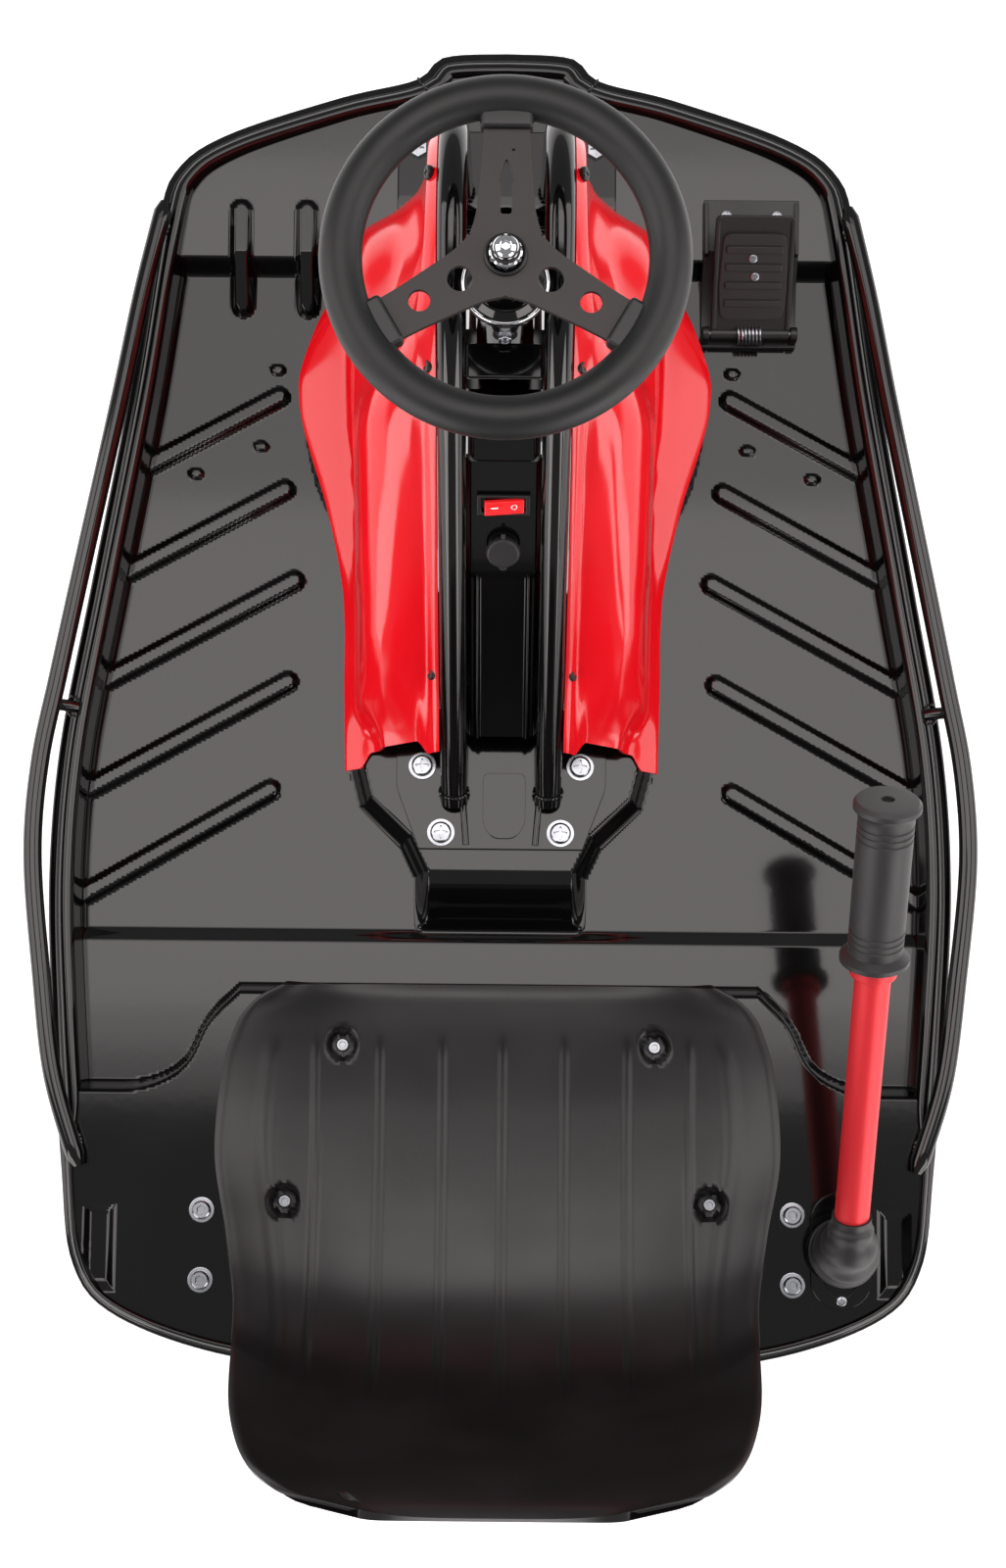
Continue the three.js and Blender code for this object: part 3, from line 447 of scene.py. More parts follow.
def headed(levels: Sequence[tuple[float, float, Recess]], count: int = 36) -> BMesh:
    """A bolt or screw head built up along Z.

    Args:
        levels: Radius, height and outline of each level, from the bottom out and into the recess.
        count: Points round each level.

    Returns:
        The head.
    """
    def reach(shape: Recess, turn: float) -> float:
        """The radius of an outline at a turn, as a share of the radius of its corners."""
        if shape is Recess.HEX:
            return math.cos(math.pi / 6) / math.cos((turn + math.pi / 6) % (math.pi / 3) - math.pi / 6)
        if shape is Recess.CROSS:
            return 0.34 + 0.66 * abs(math.cos(2 * turn)) ** 4
        return 1.0

    turns = [math.tau * i / count for i in range(count)]
    return lofted([[(r * reach(shape, a) * math.cos(a), r * reach(shape, a) * math.sin(a), z) for a in turns]
                   for r, z, shape in levels])


def plate(outline: Sequence[Point], low: float, high: float, holes: Sequence[Sequence[Point]] = (),
          ease: float = 0.5) -> BMesh:
    """A flat plate with holes and eased edges.

    Args:
        outline: Outline in plan.
        low: Height of its underside.
        high: Height of its top.
        holes: Outlines cut through it.
        ease: Width of the edge rounding.

    Returns:
        The plate.
    """
    mesh = bmesh.new()
    for loop in (outline, *holes):
        verts = [mesh.verts.new((p[0], p[1], low)) for p in loop]
        for pair in zip(verts, verts[1:] + verts[:1]):
            mesh.edges.new(pair)
    bmesh.ops.triangle_fill(mesh, use_beauty=True, use_dissolve=False, edges=mesh.edges[:],
                            normal=(0, 0, 1))
    made = bmesh.ops.extrude_face_region(mesh, geom=mesh.faces[:])["geom"]
    bmesh.ops.translate(mesh, vec=(0, 0, high - low),
                        verts=[part for part in made if isinstance(part, bmesh.types.BMVert)])
    bmesh.ops.recalc_face_normals(mesh, faces=mesh.faces[:])
    return soften(mesh, ease)


def soften(mesh: BMesh, width: float, segments: int = 2, sharper_than: float = 30.0) -> BMesh:
    """Rounds the sharp edges of a mesh.

    Args:
        mesh: The mesh, changed in place.
        width: How far the rounding reaches from an edge.
        segments: Cells across the rounding.
        sharper_than: Angle in degrees above which an edge is rounded.

    Returns:
        The same mesh.
    """
    edges = [edge for edge in mesh.edges
             if len(edge.link_faces) == 2 and edge.calc_face_angle(0.0) > math.radians(sharper_than)]
    bmesh.ops.bevel(mesh, geom=edges, offset=width, offset_type="OFFSET", affect="EDGES",
                    segments=segments, profile=0.5, material=-1, clamp_overlap=True, loop_slide=True)
    return mesh


def block(x: Point, y: Point, z: Point, ease: float = 0.8, segments: int = 2) -> BMesh:
    """Makes a box with eased edges.

    Args:
        x: Its two ends across the kart.
        y: Its two ends along the kart.
        z: Its underside and top.
        ease: Width of the rounding.
        segments: Cells across the rounding.

    Returns:
        The box.
    """
    mesh = bmesh.new()
    bmesh.ops.create_cube(mesh, size=1.0)
    bmesh.ops.scale(mesh, vec=(x[1] - x[0], y[1] - y[0], z[1] - z[0]), verts=mesh.verts[:])
    bmesh.ops.translate(mesh, vec=((x[0] + x[1]) / 2, (y[0] + y[1]) / 2, (z[0] + z[1]) / 2),
                        verts=mesh.verts[:])
    return soften(mesh, ease, segments)


def skin(surface: Callable[[float, float], Vector], columns: int, rows: int, thickness: float) -> BMesh:
    """A sheet of even thickness under a surface.

    Args:
        surface: The upper side, from two shares of one to a point.
        columns: Cells along the first share.
        rows: Cells along the second share.
        thickness: How far the lower side lies under the upper.

    Returns:
        The sheet as a closed shell.
    """
    mesh = bmesh.new()
    bmesh.ops.create_grid(mesh, x_segments=columns, y_segments=rows, size=0.5)
    for vert in mesh.verts:
        vert.co = surface(vert.co.x + 0.5, vert.co.y + 0.5)
    mesh.normal_update()
    if sum(face.normal.z * face.calc_area() for face in mesh.faces) < 0:
        bmesh.ops.reverse_faces(mesh, faces=mesh.faces[:])
    bmesh.ops.solidify(mesh, geom=mesh.faces[:], thickness=thickness)
    return mesh


def cad_copy(*nodes: str) -> BMesh:
    """Copies CAD nodes in millimetres, with flat regions made whole again.

    Args:
        nodes: Names of the nodes.

    Returns:
        One mesh of them all.
    """
    mesh = bmesh.new()
    for node in nodes:
        mesh.from_mesh(frame["nodes"][node].data)
    bmesh.ops.scale(mesh, vec=(1 / MM,) * 3, verts=mesh.verts[:])
    bmesh.ops.remove_doubles(mesh, verts=mesh.verts[:], dist=0.02)
    bmesh.ops.dissolve_limit(mesh, angle_limit=math.radians(1.0), verts=mesh.verts[:], edges=mesh.edges[:])
    return mesh


def joined(*parts: BMesh) -> BMesh:
    """Puts several meshes into one and frees them.

    Args:
        parts: The meshes.

    Returns:
        The mesh of them all.
    """
    whole = bmesh.new()
    for part in parts:
        data = bpy.data.meshes.new("part")
        part.to_mesh(data)
        part.free()
        whole.from_mesh(data)
        bpy.data.meshes.remove(data)
    return whole


def placed(mesh: BMesh, centre: Point, axis: Point = (0, 0, 1)) -> BMesh:
    """Turns a mesh's Z to an axis, moves it to a centre and returns it."""
    turn = Vector((0, 0, 1)).rotation_difference(Vector(axis)).to_matrix().to_4x4()
    bmesh.ops.transform(mesh, matrix=Matrix.Translation(Vector(centre)) @ turn, verts=mesh.verts[:])
    return mesh


def flipped(mesh: BMesh) -> BMesh:
    """Mirrors a mesh across the middle of the kart.

    Args:
        mesh: The mesh, which stays as it is.

    Returns:
        Its mirror image.
    """
    twin = mesh.copy()
    bmesh.ops.scale(twin, vec=(-1, 1, 1), verts=twin.verts[:])
    bmesh.ops.reverse_faces(twin, faces=twin.faces[:])
    return twin


def finished(name: str, mesh: BMesh, finish: Finish, body: str, replaces: Iterable[str] = (),
             crease: float = 35.0) -> bpy.types.Object:
    """Makes a mesh a piece of the kart.

    Args:
        name: The piece's name.
        mesh: Its shape in millimetres, in the row frame.
        finish: Its surface.
        body: The CAD body it rides on.
        replaces: CAD nodes that it stands for.
        crease: Angle in degrees above which an edge shades sharp.

    Returns:
        The piece's object.
    """
    bmesh.ops.scale(mesh, vec=(MM,) * 3, verts=mesh.verts[:])
    data = bpy.data.meshes.new(name)
    mesh.to_mesh(data)
    mesh.free()
    data.polygons.foreach_set("use_smooth", [True] * len(data.polygons))
    data.set_sharp_from_angle(angle=math.radians(crease))
    piece = bpy.data.objects.new(f"{name}_visual", data)
    bpy.context.scene.collection.objects.link(piece)
    data.materials.append(finish.material())
    if body:
        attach(piece, body)
        even = piece.modifiers.new("even_shading", "WEIGHTED_NORMAL")
        even.keep_sharp = True
    nodes = list(replaces)
    if nodes:
        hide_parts(*nodes)
    LOG.info("%s: %d faces, %s", name, len(data.polygons), finish.name)
    return piece


def pair(name: str, mesh: BMesh, finish: Finish, body: str = "chassis", node: str = "",
         crease: float = 35.0) -> None:
    """Finishes a right-hand mesh and its mirror image.

    Args:
        name: The pieces' name, to which the side is added.
        mesh: The right-hand shape.
        finish: Their surface.
        body: The body they ride on; a body per side has "SIDE" in its name.
        node: The CAD node they stand for, without its side.
        crease: Angle above which an edge shades sharp.
    """
    for side, shape in (("left", flipped(mesh)), ("right", mesh)):
        finished(f"{name}_{side}", shape, finish, body.replace("SIDE", side),
                 [f"{node}_{side}"] if node else [], crease)


# ------------------------------------------------------------------ shared lines
STEER_Y = 228.0
BEAM_Y = -353.0
ARCH_X = 32.5
ARCH_RADIUS = 9.0
ARCH_LINE = spline([(-48, 104), (0, 152), (60, 214), (128, 284), (180, 336), (228, 368), (285, 382),
                    (330, 362), (352, 318), (364, 240), (377, 124)], 401, centripetal=True)
ARCH_SLOPE = np.gradient(ARCH_LINE, axis=0)
ARCH_SLOPE /= np.linalg.norm(ARCH_SLOPE, axis=1, keepdims=True)


def ramp(value: np.ndarray | float, low: float, high: float) -> np.ndarray | float:
    """Rises smoothly from nought at low to one at high.

    Args:
        value: The place or places asked about.
        low: Where the rise starts.
        high: Where it ends.

    Returns:
        The share risen.
    """
    t = np.clip((value - low) / (high - low), 0, 1)
    return t * t * (3 - 2 * t)


def arch_at(share: float, drop: float = 0.0) -> tuple[float, float, float, float]:
    """A place on the arch's side view.

    Args:
        share: Share of the arch's length from its rear foot.
        drop: Distance inwards, at right angles to the arch.

    Returns:
        Y and Z of the place, then Y and Z of the arch's direction there.
    """
    at = share * (len(ARCH_LINE) - 1)
    steps = np.arange(len(ARCH_LINE))
    y, z = (float(np.interp(at, steps, ARCH_LINE[:, k])) for k in (0, 1))
    dy, dz = (float(np.interp(at, steps, ARCH_SLOPE[:, k])) for k in (0, 1))
    return y + dz * drop, z - dy * drop, dy, dz


def against(points: np.ndarray, outline: Sequence[Point]) -> tuple[np.ndarray, np.ndarray]:
    """Measures points against a closed outline in plan.

    Args:
        points: One row of X and Y for each point.
        outline: Corners of the outline.

    Returns:
        How far inside each point lies, and the outline's nearest place to it.
    """
    a = np.array([(p[0], p[1]) for p in outline], float)
    b = np.roll(a, -1, axis=0)
    run = b - a
    share = np.clip(((points[:, None] - a) * run).sum(-1) / (run ** 2).sum(-1), 0, 1)
    feet = a + share[..., None] * run
    gaps = np.linalg.norm(points[:, None] - feet, axis=-1)
    nearest = gaps.argmin(1)
    rows = np.arange(len(points))
    x, y = points[:, :1], points[:, 1:2]
    spans = (a[:, 1] > y) != (b[:, 1] > y)
    height = np.where(run[:, 1] == 0, 1e-9, run[:, 1])
    crossed = spans & (x < run[:, 0] * (y - a[:, 1]) / height + a[:, 0])
    inside = crossed.sum(1) % 2 == 1
    return np.where(inside, 1, -1) * gaps[rows, nearest], feet[rows, nearest]


def both_sides(right: Sequence[Point]) -> list[tuple[float, float]]:
    """Closes a right-hand outline with its mirror image."""
    return [(p[0], p[1]) for p in right] + [(-p[0], p[1]) for p in reversed(right)]


# ------------------------------------------------------------------ fasteners
@dataclass(frozen=True)
class Fastener:
    """A bolt or screw as it shows: head, recess and washer.

    Attributes:
        radius: Radius of the head.
        height: Height of the head.
        head: Outline of the head.
        recess: Outline of the driver's recess.
        washer_radius: Radius of the washer, or nought.
    """

    radius: float
    height: float
    head: Recess = Recess.ROUND
    recess: Recess = Recess.CROSS
    washer_radius: float = 0.0

    def build(self, centre: Point, axis: Point = (0, 0, 1)) -> BMesh:
        """Makes the fastener.

        Args:
            centre: Middle of its seat.
            axis: The way its head faces.

        Returns:
            The fastener, placed.
        """
        lift = 1.2 if self.washer_radius else 0.0
        r, h = self.radius, self.height
        dome = 0.0 if self.head is Recess.HEX else 0.28
        grip = r * (0.5 if self.recess is Recess.HEX else 0.62)
        levels = [(r * 0.9, -1.0, self.head), (r, lift, self.head), (r, lift + h * (0.85 - dome), self.head),
                  (r * 0.93, lift + h * (1 - dome * 0.6), self.head),
                  (r * 0.8, lift + h, Recess.ROUND), (grip * 1.06, lift + h, self.recess),
                  (grip, lift + h - 0.2, self.recess), (grip * 0.9, lift + h * 0.45, self.recess)]
        parts = [headed(levels)]
        if self.washer_radius:
            parts.append(washer(self.washer_radius, r * 0.5, 0.0, lift + 0.1))
        return placed(joined(*parts), centre, axis)


def bolts(name: str, kind: Fastener, places: Iterable[Point], finish: Finish, body: str = "chassis",
          axis: Point = (0, 0, 1)) -> None:
    """Finishes a set of like fasteners as one piece.

    Args:
        name: The piece's name.
        kind: The fastener.
        places: Where each one stands.
        finish: Their surface.
        body: The body they ride on.
        axis: The way their heads face.
    """
    finished(name, joined(*(kind.build(place, axis) for place in places)), finish, body)


# ------------------------------------------------------------------ pan
@dataclass
class Pan:
    """The pressed steel pan: rolled rim, ribbed floor, toe board, spine and seat deck."""

    edge: Sequence[Point] = (
        (0, 494), (46, 491), (66, 474), (120, 460), (200, 432), (236, 406), (249, 366), (266, 243),
        (290, 100), (308, -10), (313, -103), (308, -200), (299, -300), (290, -365), (262, -400),
        (190, -426), (100, -436), (0, -438))
    # Distance in from the edge and height, for the widest rim.
    rim_profile: Sequence[Point] = (
        (0, 92), (0, 96), (5.6, 96.4), (8.8, 102.4), (12.6, 104.6), (16.2, 103.4), (18.0, 99), (19.2, 72),
        (20.6, 66), (23, 64), (21, 61.5), (17.6, 66), (15.6, 98), (12.6, 101.8), (10.4, 100.6),
        (7.2, 93.8), (2.4, 93.4), (2.4, 92))
    rim_width: float = 20.0
    tail_rim_width: float = 11.0
    ribs: Sequence[tuple[Point, Point]] = (
        ((162.4, 247.4), (256.1, 195.5)), ((157.1, 179.3), (271, 116.2)), ((149.1, 113), (284, 38.3)),
        ((152.3, 40.1), (296, -40.5)), ((163.3, -37.4), (297.4, -115.5)))
    dimples: Sequence[Point] = ((164, 267.3), (175, 210.9), (221.2, 190.5))
    toe_ridges: Sequence[float] = (-190.0, -143.0)
    floor: float = 64.0
    mid_floor: float = 70.0
    deck: float = 101.5
    spine: float = 92.0
    tunnel: float = 136.0
    collar: float = 139.5
    sheet: float = 2.5
    cell: float = 7.0

    def rim_at(self, y: np.ndarray | float) -> np.ndarray | float:
        """Width of the rim at a place along the kart: less round the tail."""
        return self.rim_width + (self.tail_rim_width - self.rim_width) * ramp(-y, 250, 310)

    def stations(self) -> tuple[np.ndarray, np.ndarray]:
        """Spaces points along the outer edge.

        Returns:
            The points, clockwise from the nose, and the way inwards at each.
        """
        half = spline(self.edge, 171)
        along = np.gradient(half, axis=0)
        along /= np.linalg.norm(along, axis=1, keepdims=True)
        inward = np.stack([along[:, 1], -along[:, 0]], axis=1)
        inward[0], inward[-1] = (0, -1), (0, 1)
        twin = slice(-2, 0, -1)
        mirror = np.array([-1, 1])
        return np.vstack([half, half[twin] * mirror]), np.vstack([inward, inward[twin] * mirror])

    def inset(self, share: float) -> np.ndarray:
        """The outline drawn in by a share of the rim's width."""
        points, inward = self.stations()
        return points + inward * (self.rim_at(points[:, 1]) * share)[:, None]

    def rim(self) -> BMesh:
        """Runs flange, ridge and wall round the whole edge.

        Returns:
            The rim as a closed ring.
        """
        profile = eased(self.rim_profile, 1.6, closed=True, steps=2)
        points, inward = self.stations()
        sections = []
        for (x, y), (dx, dy) in zip(points, inward):
            nose = 1 + 0.12 * (1 - ramp(abs(x), 58, 68)) * ramp(y, 440, 460)
            scale = self.rim_at(y) / self.rim_width * nose
            sections.append([(x + dx * p.x * scale, y + dy * p.x * scale, p.y) for p in profile])
        return lofted(sections, closed=True)

    def height(self, points: np.ndarray) -> np.ndarray:
        """Works out the height of the pressed sheet.

        Args:
            points: One row of X and Y for each place.

        Returns:
            The height at each place.
        """
        x, y = points[:, 0], points[:, 1]
        z = self.mid_floor + (self.floor - self.mid_floor) * ramp(y, -146, -134)
        toe = 86 + (y - 348) * (15 / 134)
        z = z + (toe - z) * ramp(y, 336, 345)
        for place in self.toe_ridges:
            crest = np.interp(y, [304, 346, 386], [70, 92.5, 95.5])
            gap = np.hypot(x - place, np.maximum.reduce([314 - y, y - 377, np.zeros(len(y))]))
            z = z + np.maximum(crest - z, 0) * (1 - ramp(gap, 3.5, 9))
        side = np.stack([np.abs(x), y], axis=1)
        for inner, outer in self.ribs:
            a, run = np.array(inner), np.array(outer) - np.array(inner)
            share = np.clip(((side - a) @ run) / (run @ run), 0, 1)
            gap = np.linalg.norm(side - a - share[:, None] * run, axis=1)
            z = z + 4.6 * (1 - ramp(gap, 3.4, 8.2))
        for dimple in self.dimples:
            gap = np.linalg.norm((side - np.array(dimple)) * (0.8, 1.15), axis=1)
            z = z + 2.6 * (1 - ramp(gap, 2.4, 5.2))
        spine = both_sides([(52, -131), (52, -97), (64, -72), (92, -45), (101, -10), (101, 60), (106, 150)])
        crown = self.mid_floor + (self.spine - self.mid_floor) * ramp(y, -136, -94)
        lift = np.maximum(ramp(against(points, spine)[0], -9, 3),
                          ramp(self.collar - np.hypot(x, y - STEER_Y), -3, 3))
        z = z + (np.maximum(z, crown) - z) * lift
        step = eased([(340, -246), (243, -246), (214, -231), (203, -200), (180, -178)], 16)
        on_deck = ramp(against(points, both_sides([(340, -470), *step]))[0], -4.5, 4.5)
        z = z + (self.deck - z) * on_deck
        pocket = np.minimum.reduce([side[:, 0] - 258, 284 - side[:, 0], y + 386, -324 - y])
        return z - 5 * ramp(pocket, 0, 9)

    def trim(self, mesh: BMesh, outline: Sequence[Point], keep_inside: bool) -> None:
        """Cuts a grid to an outline and draws its new edge onto that outline.

        Args:
            mesh: The grid, changed in place.
            outline: Corners of the outline.
            keep_inside: Whether the cells within it stay, or those outside.
        """
        centres = np.array([face.calc_center_median() for face in mesh.faces])[:, :2]
        inside = against(centres, outline)[0] > 0
        bmesh.ops.delete(mesh, geom=[face for face, is_in in zip(mesh.faces, inside)
                                     if is_in != keep_inside], context="FACES")
        rim = [vert for vert in mesh.verts if vert.is_boundary]
        depths, feet = against(np.array([vert.co for vert in rim])[:, :2], outline)
        for vert, depth, foot in zip(rim, depths, feet):
            if abs(depth) < self.cell * 1.2:
                vert.co.x, vert.co.y = foot

    def refine(self, mesh: BMesh, tolerance: float) -> None:
        """Splits each cell, and those round it, that is too coarse for the pressed shape.

        Args:
            mesh: The grid, changed in place.
            tolerance: How far the shape may leave a cell's edges and diagonals.
        """
        corners = np.array([[vert.co.x, vert.co.y] for vert in mesh.verts])
        heights = self.height(corners)
        mesh.verts.index_update()
        rings = [[vert.index for vert in face.verts] for face in mesh.faces]
        errors = np.zeros(len(rings))
        for a, b in ((0, 1), (1, 2), (2, 0), (0, 2)):
            first, second = (np.array([ring[k % len(ring)] for ring in rings]) for k in (a, b))
            middle = self.height((corners[first] + corners[second]) / 2)
            errors = np.maximum(errors, abs(middle - (heights[first] + heights[second]) / 2))
        rough = {index for ring, error in zip(rings, errors) if error > tolerance for index in ring}
        chosen = [face for face, ring in zip(mesh.faces, rings) if rough.intersection(ring)]
        edges = list({edge for face in chosen for edge in face.edges})
        bmesh.ops.subdivide_edges(mesh, edges=edges, cuts=1, use_grid_fill=True)

    def pressing(self) -> BMesh:
        """Presses the sheet between the walls, with its openings.

        Returns:
            The sheet as a closed shell.
        """
        mesh = bmesh.new()
        width, length, middle = 600.0, 936.0, 28.0
        bmesh.ops.create_grid(mesh, x_segments=round(width / self.cell),
                              y_segments=round(length / self.cell), size=0.5)
        bmesh.ops.scale(mesh, vec=(width, length, 1), verts=mesh.verts[:])
        bmesh.ops.translate(mesh, vec=(0, middle, 0), verts=mesh.verts[:])
        self.trim(mesh, self.inset(0.86), True)
        self.trim(mesh, circle(self.tunnel + 1, 90, 0, STEER_Y), False)
        self.trim(mesh, [(-84, 18), (84, 18), (84, 92), (-84, 92)], False)
        for tolerance in (0.2, 0.2):
            self.refine(mesh, tolerance)
        bmesh.ops.triangulate(mesh, faces=mesh.faces[:])
        heights = self.height(np.array([vert.co for vert in mesh.verts])[:, :2])
        for vert, z in zip(mesh.verts, heights):
            vert.co.z = z
        mesh.normal_update()
        bmesh.ops.solidify(mesh, geom=mesh.faces[:], thickness=self.sheet)
        return mesh

    def shade(self, floor: bpy.types.Object) -> None:
        """Gives the pressing's upper side the exact normals of its shape.

        Args:
            floor: The finished pressing.
        """
        data = floor.data
        count = len(data.vertices)
        places, facing = np.empty(count * 3), np.empty(count * 3)
        data.vertices.foreach_get("co", places)
        data.vertices.foreach_get("normal", facing)
        places, facing = places.reshape(-1, 3) / MM, facing.reshape(-1, 3)
        step = 0.25
        slope = [(self.height(places[:, :2] + d) - self.height(places[:, :2] - d)) / (2 * step)
                 for d in (np.array([step, 0]), np.array([0, step]))]
        normals = np.stack([-slope[0], -slope[1], np.ones(count)], axis=1)
        normals /= np.linalg.norm(normals, axis=1, keepdims=True)
        # The underside and the cut edges keep their own normals.
        normals[(normals * facing).sum(1) < 0.5] = 0
        data.normals_split_custom_set_from_vertices(normals.tolist())

    def collar_ring(self) -> BMesh:
        """The rolled collar inside the drive opening."""
        r = self.tunnel
        loop = eased([(r, 61.5), (r + 2.5, 61.5), (r + 2.6, 89), (r + 4, 93), (r + 1.6, 93.4), (r, 90)], 1.2,
                     closed=True, steps=2)
        return placed(turned([*loop, loop[0]], 120), (0, STEER_Y, 0))

    def build(self) -> None:
        """Makes the pan, its rim with the collar round the drive opening, and its nose seams."""
        floor = finished("pan_floor", self.pressing(), ENAMEL, "chassis", ["frame_pan"], crease=70.0)
        floor.modifiers.clear()
        self.shade(floor)
        finished("pan_rim", joined(self.rim(), self.collar_ring()), ENAMEL, "chassis", crease=70.0)
        points, inward = self.stations()
        station = int(np.argmin(abs(points[:171, 0] - 63) + 1000 * (points[:171, 1] < 440)))
        seam = [(points[station][0] + inward[station][0] * d * 1.04,
                 points[station][1] + inward[station][1] * d * 1.04, z + 0.1)
                for d, z in self.rim_profile[:8]]
        pair("nose_seam", tube(seam, 0.9, 8), ENAMEL)


@dataclass
class Bumpers:
    """Side bumper tubes with their stubs and welds."""

    line: Sequence[Point] = (
        (242, 376), (256, 312), (268.5, 243), (295.5, 102), (308.5, 33), (318.5, -22), (322.1, -84),
        (313.5, -171), (304, -238), (291, -281), (284, -300))
    radius: float = 6.4
    level: float = 110.8

    def build(self) -> None:
        """Makes both tubes, each with closed, flattened ends, a mid stub and weld beads."""
        run = spline([(x, y, self.level) for x, y in self.line], 90, centripetal=True)
        pair("bumper_tube", tube(run, self.taper, 24), ENAMEL, node="bumper_tube")
        stub = tube([(296, 15, 103), (303, 15.5, 108.5), (310.5, 16, self.level)], 4.2, 16)
        beads = [self.bead(run[2], 5.6), self.bead(run[-3], 5.6), self.bead((297.5, 15.2, 104.4), 4.6)]
        pair("bumper_stub", stub, ENAMEL)
        pair("bumper_welds", joined(*beads), ENAMEL)

    def taper(self, share: float) -> float:
        """Radius of a tube at a share of its length, drawn in at both ends."""
        return self.radius * (0.55 + 0.45 * float(ramp(min(share, 1 - share), 0, 0.012)))

    def bead(self, centre: Point, radius: float) -> BMesh:
        """A rippled ring of weld lying on the rim round a joint."""
        loop = [(centre[0] + x, centre[1] + y * 1.5, 104.3) for x, y in circle(radius, 48)]
        return tube(loop, lambda share: 1.0 + 0.28 * math.sin(share * math.tau * 16), 8, closed=True)


# ------------------------------------------------------------------ steering arch
@dataclass
class SteeringArch:
    """Twin-tube arch, its foot plate and front bracket, and the head tube between."""

    foot_bolts: Sequence[Point] = ((55, -23), (41.5, -69.5))
    front_bolts: Sequence[Point] = ((63.5, 420),)
    head_low: float = 262.0
    head_high: float = 391.0

    def build(self) -> None:
        """Makes every piece of the arch."""
        line = [(ARCH_X, y, z) for y, z in ARCH_LINE[::3]]
        pair("arch_tube", tube(line, ARCH_RADIUS, 40), ENAMEL, node="arch_tube")
        self.plates()
        self.head()
        screw = Fastener(7.4, 4.2, Recess.ROUND, Recess.CROSS, washer_radius=9.6)
        feet = [(s * x, y, 95.3) for x, y in self.foot_bolts for s in (-1, 1)]
        bolts("foot_plate_bolts", screw, feet, ZINC)
        hexagon = Fastener(7.0, 4.4, Recess.HEX, Recess.CROSS, 9.2)
        fronts = [(s * x, y, 86 + (y - 348) * 15 / 134 + 4.6) for x, y in self.front_bolts for s in (-1, 1)]
        bolts("front_bracket_bolts", hexagon, fronts, ZINC)
        welds = [self.collar_weld(0.012), self.collar_weld(0.985)]
        pair("arch_welds", joined(*welds), ENAMEL)

    def collar_weld(self, share: float) -> BMesh:
        """A rippled bead round an arch tube near one foot."""
        y, z, dy, dz = arch_at(share)
        loop = [(ARCH_X + a, y - dz * b, z + dy * b) for a, b in circle(ARCH_RADIUS + 0.4, 60)]
        return tube(loop, lambda s: 1.3 + 0.3 * math.sin(s * math.tau * 20), 8, closed=True)

    def plates(self) -> None:
        """Foot plate with its tongue, front bracket and cross plate."""
        half = eased([(57, -81), (73, -38), (73, -2)], 5)
        outline = both_sides([*half, (70, 1), (40, 2)])
        holes = [circle(3.6, 20, s * x, y) for x, y in self.foot_bolts for s in (-1, 1)]
        base = plate(outline, 92.3, 95.3, holes, 0.7)
        tongue = [(-12.5, -28), (-12.5, -64), (-6, -73.5), (10, -73.5), (17, -64), (17, -28)]
        raised = plate(eased(tongue, 5, closed=True), 95.0, 98.2, ease=1.2)
        ribs = [tube([(s * 24, -78, 96.2), (s * 27, -40, 96.2), (s * 27, -4, 96.2)], 2.4, 12)
                for s in (-1, 1)]
        finished("foot_plate", joined(base, raised, *ribs), ENAMEL, "chassis", ["arch_foot_plate"])
        finished("front_bracket", soften(cad_copy("arch_front_bracket"), 1.2, 3), ENAMEL, "chassis",
                 ["arch_front_bracket"])
        finished("head_gusset", soften(cad_copy("head_gusset"), 1.2, 3), ENAMEL, "chassis", ["head_gusset"])

    def head(self) -> None:
        """Head tube, black upper cup with a chrome ring, steel lower cup and pinch bolt."""
        low, high = self.head_low, self.head_high
        wall = eased([(14, low), (18, low), (18, high), (14, high)], 0.8, closed=True, steps=2)
        finished("head_tube", placed(turned([*wall, wall[0]]), (0, STEER_Y, 0)), ENAMEL, "chassis",
                 ["head_tube"])
        cup = eased([(10.4, high + 0.3), (26, high + 0.3), (26, high + 5), (24.6, high + 5.4),
                     (24.2, high + 7.6), (19, high + 12.6), (13.5, high + 13), (12.6, high + 10.5),
                     (10.4, high + 10.5)], 1.0, closed=True, steps=3)
        finished("head_bearing_upper", placed(turned([*cup, cup[0]], 80), (0, STEER_Y, 0)), ENAMEL,
                 "chassis", ["head_bearing_upper"])
        crown = [(x, y + STEER_Y, high + 7.4) for x, y in circle(24.6, 90)]
        finished("head_bearing_ring", tube(crown, 1.5, 14, closed=True), CHROME, "chassis")
        ring = eased([(10.4, low - 12), (17.5, low - 12), (19, low - 8), (19, low - 0.3), (10.4, low - 0.3)],
                     0.8, closed=True, steps=2)
        finished("head_bearing_lower", placed(turned([*ring, ring[0]]), (0, STEER_Y, 0)), STEEL,
                 "chassis", ["head_bearing_lower"])
        boss = joined(Fastener(4.6, 3.2, Recess.HEX, Recess.ROUND, 5.6).build((0, 0, 0)),
                      placed(washer(7.6, 2.0, -3.0, 0.1), (0, 0, 0)))
        finished("head_pinch_bolt", placed(boss, (0, STEER_Y - 18, 352), (0, -1, 0.25)), ZINC, "chassis")


